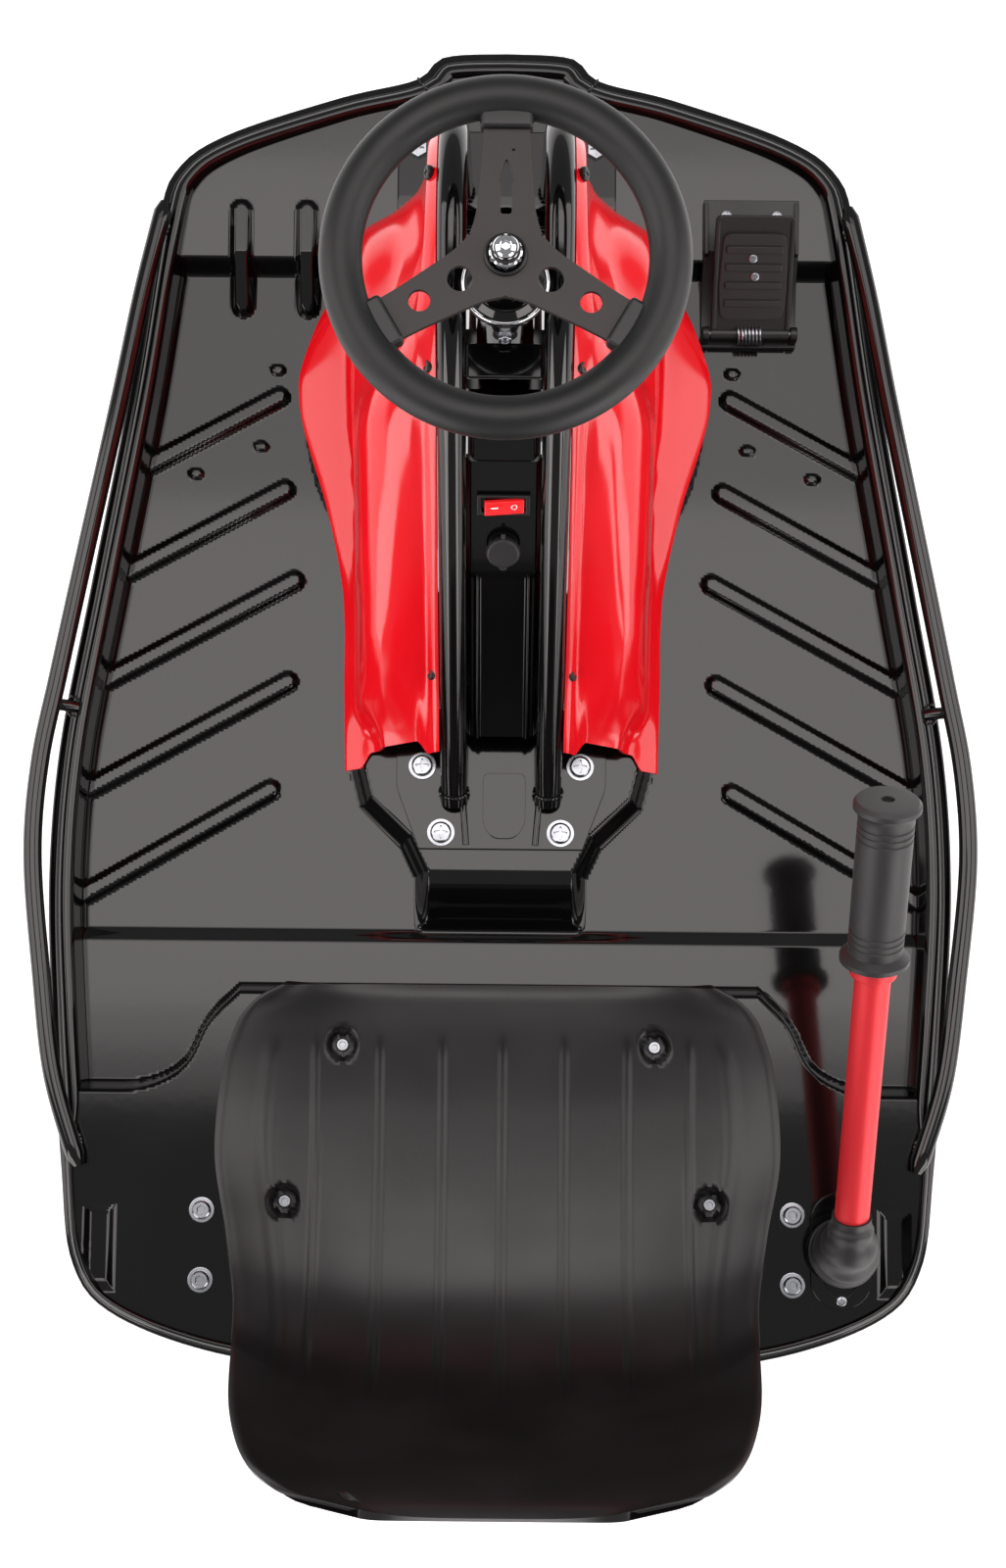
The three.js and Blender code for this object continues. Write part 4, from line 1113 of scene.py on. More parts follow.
# ------------------------------------------------------------------ fairings
@dataclass
class Fairing:
    """One moulded fairing: flange along the arch, bulged panel, wheel dome and flared skirt."""

    edge: Sequence[Point] = (
        (109, -17), (110.5, 30), (111, 76), (114, 110), (125, 160), (141, 212), (146, 240), (144, 264),
        (127, 308), (99, 342), (64, 365), (44, 372))
    top_x: float = 42.2
    hem: float = 93.0
    thickness: float = 2.4
    screw_shares: Sequence[float] = (0.085, 0.445, 0.63, 0.79)

    def __post_init__(self) -> None:
        """Samples the hem once."""
        self.rim = spline(self.edge, 201)

    def place(self, across: float, along: float) -> Vector:
        """A point of the outer skin.

        Args:
            across: Share of the way from the arch down to the hem.
            along: Share of the way from tail to nose.

        Returns:
            The point, in millimetres.
        """
        y0, z0, _, _ = arch_at(0.075 + 0.875 * along)
        x1, y1 = (float(np.interp(along * 200, np.arange(201), self.rim[:, k])) for k in (0, 1))
        reach = x1 - self.top_x
        tall = z0 - self.hem
        front = float(ramp(along, 0.4, 0.64))
        # The shoulder keeps to one fore-and-aft line, and turns in at the tail.
        tuck = 16 * (1 - float(ramp(along, 0.0, 0.09)))
        shoulder = min(98 - tuck, self.top_x + reach * 0.8) - self.top_x
        foot = min(shoulder + 5 + 7 * float(ramp(along, 0.35, 0.6)), reach * 0.94)
        shoulder_z = tall * (0.6 - 0.16 * front)
        skirt = 7 + 9 * float(ramp(along, 0.3, 0.55) * (1 - ramp(along, 0.8, 0.95)))
        narrow = 1 - 0.45 * front
        edge_in = min(4.0, reach * 0.2) * narrow
        profile = [(0, tall), (edge_in, tall - 1.2), (edge_in + 3 * narrow, tall - 7),
                   (edge_in + 5 * narrow, tall - 8.6), (edge_in + 8 * narrow, tall - 8)]
        # The rear panel is crowned; the front falls hollow from the arch into the wheel dome.
        bulge = 15.0 * float(ramp(along, 0.0, 0.16)) * (1 - front) - 0.115 * tall * front
        start, end = Vector(profile[-1]), Vector((shoulder, shoulder_z))
        for s in (0.25, 0.5, 0.75):
            mid = start.lerp(end, s)
            profile.append((mid.x + bulge * 0.6 * math.sin(math.pi * s),
                            mid.y + bulge * math.sin(math.pi * s)))
        profile += [(shoulder, shoulder_z), (shoulder + (foot - shoulder) * 0.55, shoulder_z * 0.5),
                    (foot, skirt + 2), (foot + (reach - foot) * 0.3, skirt), (reach - 1.5, 2.2), (reach, 0)]
        line = self._curve(profile)
        x, z = (float(np.interp(across * (len(line) - 1), np.arange(len(line)), line[:, k])) for k in (0, 1))
        share = min(1.0, max(0.0, x / max(reach, 1e-6)))
        y = y0 + (y1 - y0) * share
        # The tail: skirt and flange run on past the panel's end.
        tail = 1 - float(ramp(along, 0.0, 0.09))
        y -= tail * 10 * (float(ramp(share, 0.72, 0.84)) + float(1 - ramp(share, 0.1, 0.24)))
        return Vector((self.top_x + x, y, self.hem + z))

    @staticmethod
    def _curve(profile: Sequence[Point]) -> np.ndarray:
        """Rounds a cross-section and spaces its points evenly."""
        return spline([tuple(p) for p in eased(profile, 6.0, steps=3)], 61)

    def build(self) -> None:
        """Makes both fairings and their screws."""
        columns, rows = 60, 110
        table = [[self.place(i / columns, j / rows) for i in range(columns + 1)] for j in range(rows + 1)]

        def look_up(u: float, v: float) -> Vector:
            """The point worked out for a cell corner."""
            return table[round(v * rows)][round(u * columns)]

        mesh = skin(look_up, columns, rows, self.thickness)
        pair("fairing", soften(mesh, 0.7, 2, 60), RED_ABS, node="fairing", crease=50.0)
        heads = Fastener(4.6, 2.4, Recess.ROUND, Recess.CROSS)
        seats = []
        for share in self.screw_shares:
            y, z, _, _ = arch_at(0.075 + 0.875 * share)
            seats.append(heads.build((self.top_x + 4.4, y, z - 5.5), (0.93, 0, 0.36)))
        pair("fairing_screws", joined(*seats), NYLON)


# ------------------------------------------------------------------ centre cover
@dataclass
class CentreCover:
    """Cover between the arch tubes, with rocker switch and charging port."""

    start: float = 0.07
    panel_start: float = 0.255
    end: float = 0.37
    half_width: float = 25.0
    drop: float = 3.0
    switch_at: float = 0.328
    port_at: float = 0.283

    def face(self, share: float, up: float = 0.0) -> Matrix:
        """Where a part sits on the cover: Z out of the face, Y up the slope."""
        y, z, dy, dz = arch_at(share, self.drop)
        base = Matrix.Translation((0, y, z)) @ Matrix.Rotation(math.atan2(dz, dy), 4, "X")
        return base @ Matrix.Translation((0, 0, up))

    def surface(self, across: float, along: float) -> Vector:
        """A point of the cover's upper side, edged and sunk below the switch panel.

        Args:
            across: Share of the width, from left to right.
            along: Share of the length, from the lower end up.

        Returns:
            The point, in millimetres.
        """
        share = self.start + (self.end - self.start) * along
        x = (across * 2 - 1) * self.half_width
        panel = float(ramp(share, self.panel_start - 0.006, self.panel_start))
        ridge = float(ramp(abs(x), 14.6, 16) * (1 - ramp(abs(x), 17.2, 19)))
        edge = float(ramp(abs(x), 20.4, 24.6)) * 6.0
        sunk = (2.6 - 2.2 * ridge) * (1 - panel) + edge
        y, z, _, _ = arch_at(share, self.drop + sunk)
        return Vector((x, y, z))

    def build(self) -> None:
        """Makes the cover, switch and port."""
        mesh = skin(self.surface, 60, 120, 2.6)
        finished("centre_cover", mesh, ENAMEL, "chassis", ["centre_cover"], crease=60.0)
        hood = block((-19.5, 19.5), (-7, 9), (-1.2, 1.6), 1.2, 3)
        y, z, _, _ = arch_at(0.376, self.drop - 1)
        lean = Matrix.Translation((0, y + 4, z + 1)) @ Matrix.Rotation(0.32, 4, "X")
        bmesh.ops.transform(hood, matrix=lean, verts=hood.verts[:])
        finished("panel_hood", hood, ENAMEL, "chassis")
        frame_ring = soften(cad_copy("switch_frame"), 0.7, 3)
        finished("switch_frame", frame_ring, NYLON, "chassis", ["switch_frame"])
        button = soften(cad_copy("rocker_button"), 0.6, 3)
        finished("rocker_button", button, ROCKER, "power_rocker", ["rocker_button"])
        self.marks()
        self.port()

    def marks(self) -> None:
        """The printed stroke and ring that show on and off."""
        tilt = Matrix.Translation((0, 0, 1.2)) @ Matrix.Rotation(math.radians(8), 4, "Y")
        stroke = block((-8.6, -4.0), (-0.45, 0.45), (4.25, 4.36), 0.04, 1)
        loop = [(6.2 + x, y, 4.3) for x, y in circle(1.7, 32)]
        ring = tube(loop, 0.35, 6, closed=True)
        ink = joined(stroke, ring)
        bmesh.ops.transform(ink, matrix=self.face(self.switch_at) @ tilt, verts=ink.verts[:])
        finished("rocker_marks", ink, INK, "power_rocker")

    def port(self) -> None:
        """Charging socket and its rubber cap on a strap."""
        rim = eased([(6, 0.5), (9.5, 0.5), (9.5, 3.6), (8.7, 5), (6, 5)], 0.7, closed=True, steps=2)
        socket = turned([*rim, rim[0]], 48)
        cap = turned(eased([(0, 5.4), (11, 5.4), (11, 7.6), (9.8, 9.2), (0, 9.4)], 1.0, steps=3), 64)
        tab = plate(eased([(-3.2, -9), (3.2, -9), (2.2, -13.4), (-2.2, -13.4)], 1.6, closed=True), 5.5, 7.4)
        strap = tube([(0, 9.5, 6.4), (0, 11.4, 6.3), (0, 13.2, 5.6)], 1.5, 12)
        for mesh in (socket, cap, tab, strap):
            bmesh.ops.transform(mesh, matrix=self.face(self.port_at), verts=mesh.verts[:])
        finished("charger_socket", socket, NYLON, "chassis", ["charger_socket"])
        finished("charger_cap", joined(cap, tab, strap), RUBBER, "charger_lid", ["charger_cap"])


# ------------------------------------------------------------------ steering wheel
@dataclass
class SteeringWheel:
    """Foam-rimmed wheel, its three-spoke plate, stem and hub."""

    level: float = 447.0
    radius: float = 94.5
    grip: float = 12.5
    spokes: int = 3

    def outline(self) -> list[Vector]:
        """Outline of the three-spoke plate, from one lobe repeated about the hub."""
        lobe = [(21.9, 9.5), (17.1, 23), (13.4, 66), (13.4, 85), (-13.4, 85), (-13.4, 66), (-17.1, 23),
                (-21.9, 9.5)]
        corners = [Matrix.Rotation(math.tau * k / self.spokes, 2) @ Vector(p)
                   for k in range(self.spokes) for p in lobe]
        return eased(corners, 9, closed=True, steps=5)

    def build(self) -> None:
        """Makes rim, plate, clips, stem and hub."""
        loop = [(x, y + STEER_Y, self.level) for x, y in circle(self.radius, 160)]
        finished("steering_wheel_rim", tube(loop, self.grip, 48, closed=True), FOAM, "steering",
                 ["steering_wheel_rim"])
        arrow = eased([(3.2, 24.3), (3.2, 41.4), (4.7, 45.5), (0, 57.3), (-4.7, 45.5), (-3.2, 41.4),
                       (-3.2, 24.3)], 1.6, closed=True, steps=4)
        holes = [arrow, circle(10.9, 36), circle(1.0, 12, 3.9, 62.1)]
        holes += [circle(r, 36, s * x, y) for x, y, r in ((26, -14, 7.4), (49, -27, 6.4)) for s in (-1, 1)]
        web = plate(self.outline(), self.level - 2, self.level + 2, holes, 0.6)
        finished("steering_wheel_plate", placed(web, (0, STEER_Y, 0)), PLATE, "steering",
                 ["steering_wheel_plate"])
        clips = []
        for k in range(self.spokes):
            clip = block((-15.5, 15.5), (74.5, 86.5), (-7.5, 6.4), 2.6, 3)
            turn = Matrix.Translation((0, STEER_Y, self.level)) @ Matrix.Rotation(math.tau * k / 3, 4, "Z")
            bmesh.ops.transform(clip, matrix=turn, verts=clip.verts[:])
            clips.append(clip)
        finished("rim_clips", joined(*clips), NYLON, "steering")
        self.hub()

    def hub(self) -> None:
        """Chrome stem, dome nut with its socket, and the black seat ring."""
        stem = eased([(0, 224), (10, 224), (10, 449.8), (9, 452), (0, 452)], 0.8, steps=2)
        finished("steering_stem", placed(turned(stem), (0, STEER_Y, 0)), CHROME, "steering",
                 ["steering_stem"])
        nut = headed([(10.6, 452.4, Recess.HEX), (10.6, 454.8, Recess.HEX), (9.6, 456.2, Recess.ROUND),
                      (8.5, 457.2, Recess.ROUND), (8.3, 462, Recess.ROUND), (7.2, 465.2, Recess.ROUND),
                      (5.2, 467.2, Recess.ROUND), (3.4, 467.9, Recess.ROUND), (3.0, 467.6, Recess.HEX),
                      (2.8, 463, Recess.HEX)], 48)
        finished("hub_nut", placed(nut, (0, STEER_Y, 0)), CHROME, "steering", ["hub_nut"], crease=40.0)
        ring = turned([(10.8, 449.2), (12.6, 449.2), (12.4, 451.2), (11.4, 451.8), (10.8, 451.2),
                       (10.8, 449.2)])
        sleeve = turned([(10.2, 405), (11.8, 405), (11.8, 444), (10.2, 444), (10.2, 405)])
        finished("hub_ring", placed(ring, (0, STEER_Y, 0)), NYLON, "steering")
        finished("stem_sleeve", placed(sleeve, (0, STEER_Y, 0)), NYLON, "steering")


# ------------------------------------------------------------------ parts that keep the CAD shape
def body_of(node: str) -> str:
    """Name of the body that a CAD node rides on."""
    rows = frame["record"]["behaviour"]["bodies"]
    return next(name for name, nodes in rows.items() if node in nodes)


def eased_cad(node: str, finish: Finish, ease: float = 0.8, segments: int = 2) -> None:
    """Stands an edge-rounded copy of a CAD node in its place."""
    finished(node, soften(cad_copy(node), ease, segments), finish, body_of(node), [node])


def toothed(teeth: int, outer: float, root: float, width: float, bore: float) -> BMesh:
    """A chain sprocket about Z, centred on nought.

    Args:
        teeth: Number of teeth.
        outer: Radius over the teeth.
        root: Radius between the teeth.
        width: Width of the sprocket.
        bore: Radius of its bore.

    Returns:
        The sprocket.
    """
    rim = []
    for k in range(teeth):
        flank = root + 0.3
        for share, radius in ((0.0, root), (0.24, flank), (0.42, outer), (0.58, outer), (0.76, flank)):
            turn = math.tau * (k + share) / teeth
            rim.append((radius * math.cos(turn), radius * math.sin(turn)))
    return plate(rim, -width / 2, width / 2, [circle(bore, 32)], 0.25)


# ------------------------------------------------------------------ drive unit
@dataclass
class DriveUnit:
    """Front wheel on its fork, with the motor, chain and sprockets."""

    axle_z: float = 100.0
    motor_z: float = 182.0
    tyre_radius: float = 100.0
    half_width: float = 25.0
    sprocket_x: float = 33.1
    wheel_teeth: int = 32
    motor_teeth: int = 11
    blocks: int = 44

    def across(self, mesh: BMesh, z: float, x: float = 0.0) -> BMesh:
        """Turns a mesh's Z along X and sets it at a height."""
        turn = Matrix.Translation((x, STEER_Y, z)) @ Matrix.Rotation(math.radians(90), 4, "Y")
        bmesh.ops.transform(mesh, matrix=turn, verts=mesh.verts[:])
        return mesh

    def build(self) -> None:
        """Makes the wheel, fork, motor and chain drive."""
        self.tyre()
        eased_cad("drive_rim", CAST_ALLOY, 0.8)
        eased_cad("drive_fork", ENAMEL, 1.2, 3)
        eased_cad("drive_axle", ZINC, 0.5)
        self.motor()
        self.chain()

    def tyre(self) -> None:
        """Tyre with blocks across its tread."""
        w, r = self.half_width, self.tyre_radius
        wall = eased([(64.3, -w + 6), (70, -w + 1), (84, -w), (94, -w + 3), (r - 2.6, -w + 9),
                      (r - 2.2, w - 9), (94, w - 3), (84, w), (70, w - 1), (64.3, w - 6)], 3.0,
                     closed=True, steps=2)
        parts = [turned([*wall, wall[0]], 96)]
        for k in range(self.blocks):
            for shift, x in ((0.0, -8.4), (0.5, 8.4)):
                lug = block((r - 3.4, r), (-4.6, 4.6), (x - 7.2, x + 7.2), 0.8, 1)
                turn = Matrix.Rotation(math.tau * (k + shift) / self.blocks, 4, "Z")
                bmesh.ops.transform(lug, matrix=turn, verts=lug.verts[:])
                parts.append(lug)
        finished("drive_tyre", self.across(joined(*parts), self.axle_z), TYRE, "drive_wheel",
                 ["drive_tyre"])

    def motor(self) -> None:
        """Finned motor with its end bolts."""
        can = [(0, 48.6), (34, 48.6), (36, 50.6)]
        for k in range(6):
            z = 54 + k * 5
            can += [(36, z), (33.4, z + 0.4), (33.4, z + 2.4), (36, z + 2.8)]
        can += [(36, 86), (33, 89), (0, 89)]
        parts = [turned(can, 72)]
        screw = Fastener(3.0, 2.0, Recess.HEX, Recess.ROUND)
        parts += [screw.build((*p, 88.6)) for p in circle(25, 4)]
        finished("drive_motor", self.across(joined(*parts), self.motor_z), CAST_ALLOY, "steering",
                 ["drive_motor"], crease=30.0)

    def chain(self) -> None:
        """Roller chain round two toothed sprockets."""
        bodies = ((40.0, self.wheel_teeth, self.axle_z, "drive_sprocket", "drive_wheel", 6.2),
                  (13.7, self.motor_teeth, self.motor_z, "motor_sprocket", "motor_shaft", 3.0))
        for radius, teeth, z, node, body, bore in bodies:
            wheel = toothed(teeth, radius, radius - 3.4, 2.4, bore)
            hub = washer(bore + 6, bore, -2.4, 2.4) if radius > 20 else washer(bore + 4, bore, -2.6, 2.6)
            shape = joined(wheel, hub)
            finished(node, self.across(shape, z, self.sprocket_x), STEEL, body, [node])
        big, small, gap = 41.4, 15.1, self.motor_z - self.axle_z
        lean = math.asin((big - small) / gap)
        round_big = np.linspace(math.pi - lean, math.tau + lean, 60)
        round_small = np.linspace(lean, math.pi - lean, 24)
        path = [(big * math.cos(a), big * math.sin(a)) for a in round_big]
        path += [(small * math.cos(a), gap + small * math.sin(a)) for a in round_small]
        count = 74
        line = spline([*path, path[0]], count + 1)
        links = []
        for k in range(count):
            a, b = Vector(line[k]), Vector(line[k + 1])
            middle, turn = (a + b) / 2, math.atan2(b.y - a.y, b.x - a.x)
            reach, wide = (b - a).length / 2 + 1.6, 2.7 if k % 2 else 3.5
            link = block((-reach, reach), (-1.9, 1.9), (-wide, wide), 1.2, 1)
            put = Matrix.Translation((middle.x, middle.y, 0)) @ Matrix.Rotation(turn, 4, "Z")
            bmesh.ops.transform(link, matrix=put, verts=link.verts[:])
            links.append(link)
        mesh = joined(*links)
        # The loop's own X runs along the kart, its Y upwards and its Z across.
        frame_turn = Matrix(((0, 0, 1, self.sprocket_x), (1, 0, 0, STEER_Y), (0, 1, 0, self.axle_z),
                             (0, 0, 0, 1)))
        bmesh.ops.transform(mesh, matrix=frame_turn, verts=mesh.verts[:])
        finished("drive_chain", mesh, STEEL, "steering", ["drive_chain"])


# ------------------------------------------------------------------ batteries
@dataclass
class PowerPack:
    """Two batteries with their terminals, and the speed controller with its fins."""

    top: float = 150.3
    centre_x: float = 41.0
    centre_y: float = 56.0

    def build(self) -> None:
        """Makes the batteries, terminals and controller."""
        for side, sign in (("right", 1), ("left", -1)):
            case = soften(cad_copy(f"battery_{side}"), 2.0, 3)
            lid = block((sign * self.centre_x - 36, sign * self.centre_x + 36),
                        (self.centre_y - 31, self.centre_y + 31), (self.top - 6, self.top + 0.7), 0.5)
            finished(f"battery_{side}", joined(case, lid), BATTERY_ABS, "chassis", [f"battery_{side}"])
            tabs = [block((sign * x - 3, sign * x + 3), (26.5, 33), (self.top - 1, self.top + 1.4), 0.3)
                    for x in (14, 68)]
            finished(f"battery_tabs_{side}", joined(*tabs), ZINC, "chassis")
        eased_cad("speed_controller", CAST_ALLOY, 1.2)


# ------------------------------------------------------------------ seat
@dataclass
class Seat:
    """One-piece moulded seat with sunk flutes, bolt wells and a rolled rim."""

    line: Sequence[Point] = (
        (-176, 122), (-200, 120), (-260, 114), (-330, 116), (-385, 128), (-425, 160), (-450, 212),
        (-468, 272), (-480, 325), (-489.53, 345))
    widths: Sequence[Point] = (
        (0, 148), (0.012, 158), (0.03, 168), (0.06, 177), (0.125, 185), (0.25, 188), (0.375, 178),
        (0.5, 171), (0.625, 169), (0.75, 166), (0.85, 157), (0.92, 146), (0.965, 131), (0.985, 116), (1, 84))
    flutes: Sequence[float] = (-123.5, -80.4, -37.9, 2.9, 45, 87.5, 129.3)
    wells: Sequence[Point] = ((106, -217, 117), (143, -322, 122))
    hole: Point = (-85.6, -486.4)
    thickness: float = 5.0

    def __post_init__(self) -> None:
        """Samples the middle line and the widths once."""
        self.middle = spline(self.line, 401)
        slope = np.gradient(self.middle, axis=0)
        self.slope = slope / np.linalg.norm(slope, axis=1, keepdims=True)
        knots = np.array(self.widths)
        full = np.vstack([knots[0], knots, knots[-1]])
        table = []
        for p0, p1, p2, p3 in zip(full, full[1:], full[2:], full[3:]):
            for s in np.linspace(0, 1, 20, endpoint=False):
                table.append((2 * p1 + (p2 - p0) * s + (2 * p0 - 5 * p1 + 4 * p2 - p3) * s * s
                              + (3 * p1 - p0 - 3 * p2 + p3) * s ** 3) / 2)
        self.width_table = np.array([*table, knots[-1]])

    def surface(self, across: float, along: float) -> Vector:
        """A point of the seat's upper side.

        Args:
            across: Share of the width, from left to right.
            along: Share of the length, from the front edge to the top of the back.

        Returns:
            The point, in millimetres.
        """
        side = across * 2 - 1
        at = along * 400
        steps = np.arange(401)
        y, z = (float(np.interp(at, steps, self.middle[:, k])) for k in (0, 1))
        dy, dz = (float(np.interp(at, steps, self.slope[:, k])) for k in (0, 1))
        width = float(np.interp(along, self.width_table[:, 0], self.width_table[:, 1]))
        lift = 26 + 20 * math.sin(math.pi * min(1, 1.1 * along)) ** 2
        curl = lift * abs(side) ** 4 * min(1, (1.15 - along) * 2)
        # Edges roll under: the last few millimetres turn away from the sitter.
        rim = max(abs(side) * width - (width - 7), 0) / 7
        lip = max(0.02 - along, 0) / 0.02 + max(along - 0.985, 0) / 0.015
        x = side * width
        sink = 3.2 * (rim ** 2 + 0.8 * lip ** 2)
        crown = float(ramp(along, 0.07, 0.11) * (1 - ramp(along, 0.60, 0.68)))
        for flute in self.flutes:
            sink += 1.8 * crown * float(1 - ramp(abs(x - flute), 0.6, 3.6))
        sink += 1.2 * float(ramp(abs(side), 0.80, 0.83) * (1 - ramp(abs(side), 0.84, 0.88))) * crown
        point = Vector((x, y + dz * (curl - sink), z - dy * (curl - sink)))
        for bolt_x, bolt_y, head in self.wells:
            gap = math.hypot(abs(point.x) - bolt_x, point.y - bolt_y)
            well = float(1 - ramp(gap, 8.2, 11.2))
            if well and along < 0.6:
                floor = min(head - 1.6, point.z - 5)
                point.z += (floor - point.z) * well
        if along > 0.7:
            gap = math.hypot(point.x - self.hole[0], (along - 0.972) * 560)
            dent = 2.6 * float(1 - ramp(gap, 1.6, 3.8))
            point -= Vector((0, dz, -dy)) * dent
        return point

    def build(self) -> None:
        """Makes the shell and its four bolts."""
        shell = skin(self.surface, 230, 150, self.thickness)
        finished("seat", shell, SEAT_SHELL, "chassis", ["seat"], crease=60.0)
        for place, (x, y, head) in zip(("front", "rear"), self.wells):
            bolt = Fastener(4.6, 3.4, Recess.ROUND, Recess.HEX).build((x, y, head - 1.6))
            shank = turned([(0, 101.8), (3, 101.8), (3, head - 1.4), (0, head - 1.4)], 20)
            pair(f"seat_bolt_{place}", joined(bolt, placed(shank, (x, y, 0))), ZINC,
                 node=f"seat_bolt_{place}")


# ------------------------------------------------------------------ throttle pedal
@dataclass
class Pedal:
    """Throttle pedal with its ribbed tread pad, return spring and housing."""

    x: float = 175.0
    hinge: Point = (293.0, 80.0)
    half: float = 28.0
    length: float = 86.0
    angle: float = 35.0

    def on_pedal(self, mesh: BMesh) -> BMesh:
        """Moves a mesh from the pedal's own frame: X across, Y up its face, Z out of the face."""
        turn = Matrix.Translation((self.x, *self.hinge)) @ Matrix.Rotation(math.radians(self.angle), 4, "X")
        bmesh.ops.transform(mesh, matrix=turn, verts=mesh.verts[:])
        return mesh

    def build(self) -> None:
        """Makes plate, pad, screws, spring, pin and housing."""
        h, long = self.half, self.length
        base = plate(eased([(-h, -3.6), (h, -3.6), (h, long), (-h, long)], 5, closed=True), -2, 2.2,
                     ease=0.8)
        rails = [block((s * (h - 1.6) - 1.6, s * (h - 1.6) + 1.6), (4, long - 3), (1.6, 3.4), 0.7)
                 for s in (-1, 1)]
        knuckle = tube([(-h, 0, 0), (h, 0, 0)], 4.5, 24)
        edges = [(-22, 12), (22, 12), (24, 34), (22, 74), (-22, 74), (-24, 34)]
        pad = plate(eased(edges, 6, closed=True), 2.0, 4.6, ease=0.9)
        bars = [block((-20, 20), (y - 2.6, y + 2.6), (4.2, 6.2), 0.9) for y in (24, 37, 50, 63)]
        finished("throttle_pedal", self.on_pedal(joined(base, knuckle, *rails)), NYLON, "throttle",
                 ["throttle_pedal"])
        finished("pedal_pad", self.on_pedal(joined(pad, *bars)), RUBBER, "throttle")
        screw = Fastener(3.2, 1.4, Recess.ROUND, Recess.CROSS)
        screws = joined(screw.build((-1, 56.5, 4.4)), screw.build((1, 43.5, 4.4)))
        finished("pedal_screws", self.on_pedal(screws), ZINC, "throttle")
        turns = 7
        coil = [(-9 + 18 * s, 6.2 * math.cos(math.tau * turns * s), 6.2 * math.sin(math.tau * turns * s))
                for s in np.linspace(0, 1, turns * 18)]
        spring = tube(coil, 1.0, 8)
        bmesh.ops.translate(spring, vec=(self.x, self.hinge[0] - 0.5, self.hinge[1] + 0.0),
                            verts=spring.verts[:])
        finished("pedal_spring", spring, ZINC, "chassis")
        finished("pedal_pin", soften(cad_copy("pedal_pin"), 0.4), STEEL, "chassis", ["pedal_pin"])
        eased_cad("pedal_housing", NYLON, 1.4, 3)
        ribs = [block((self.x + s * 32 - 1.4, self.x + s * 32 + 1.4), (346, 384), (91, 98.4), 0.6)
                for s in (-1, 1)]
        heads = [Fastener(4.2, 2.2).build((self.x + s * 18, 374, 97.0)) for s in (-1, 1)]
        finished("pedal_housing_ribs", joined(*ribs), NYLON, "chassis")
        finished("pedal_housing_screws", joined(*heads), ZINC, "chassis")


# ------------------------------------------------------------------ drift lever
@dataclass
class DriftLever:
    """Bent red lever with its ribbed grip, bellows boot and boot plate."""

    x: float = 234.0
    radius: float = 11.5
    start: Point = (-346.0, 146.0)
    rise: float = 33.5
    length: float = 326.0
    grip_start: float = 218.4
    grip_length: float = 114.0

    def at(self, distance: float) -> Point:
        """A point on the lever's straight run, by distance from the bend."""
        turn = math.radians(self.rise)
        return (self.x, self.start[0] + distance * math.cos(turn), self.start[1] + distance * math.sin(turn))

    def build(self) -> None:
        """Makes lever, grip, boot and plate."""
        knots = [(self.x, -353, 97), (self.x, -354, 119), self.at(0), self.at(12)]
        bend = [tuple(p) for p in eased(knots, 13, steps=8)]
        lever = tube([*bend, self.at(60), self.at(self.length)], self.radius, 36)
        finished("drift_lever", lever, RED_POWDER, "drift_bar", ["drift_lever"])
        self.grip()
        self.boot()

    def grip(self) -> None:
        """Rubber grip: flanges, ribs in groups and a domed end."""
        long = self.grip_length
        profile = [(11.6, 0), (20, 0), (22, 1.4), (22, 4.4), (20, 6), (17.2, 8)]
        for start, count in ((14, 3), (long - 26, 3)):
            for k in range(count):
                y = start + k * 4.4
                profile += [(17.5, y), (16.7, y + 0.7), (16.7, y + 1.7), (17.5, y + 2.4)]
        profile += [(17.5, long - 10), (19.4, long - 7), (21, long - 6), (21, long - 3), (19, long - 0.6),
                    (16, long - 0.2), (4.2, long), (3.8, long - 2.4), (0, long - 2.4)]
        inner = [(11.6, long - 5), (11.6, 0)]
        shape = turned([*profile, (0, long - 5), *inner], 72)
        direction = Vector(self.at(1)) - Vector(self.at(0))
        finished("lever_grip", placed(shape, self.at(self.grip_start), direction), RUBBER, "drift_bar",
                 ["lever_grip"])
        collar = washer(15, 11.6, -9, -0.6, 1.2)
        finished("grip_collar", placed(collar, self.at(self.grip_start), direction), RED_POWDER, "drift_bar")

    def boot(self) -> None:
        """Bellows boot, and its plate and screws."""
        path = [Vector(p) for p in spline([(self.x, -353, 104.4), (self.x, -353.5, 116), (self.x, -351, 131),
                                           (self.x, -344, 147), self.at(24)], 64, centripetal=True)]
        def girth(share: float) -> float:
            """Radius of the boot at a share of its length, with its folds."""
            body = 22.4 + (13.2 - 22.4) * float(ramp(share, 0.3, 0.98))
            fold = math.sin(share * math.tau * 5) * 1.1 * float(ramp(share, 0.08, 0.2))
            return body + fold * float(1 - ramp(share, 0.86, 0.96))
        mesh = tube(path, girth, 48)
        boot = finished("lever_boot", mesh, RUBBER, "", ["lever_boot"], crease=60.0)
        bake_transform(boot)
        eased_cad("boot_plate", ENAMEL, 0.6)
        screws = Fastener(3.6, 1.8)
        bolts("boot_plate_screws", screws, [(self.x, -315.6, 104), (self.x, -386.5, 104)], ZINC)


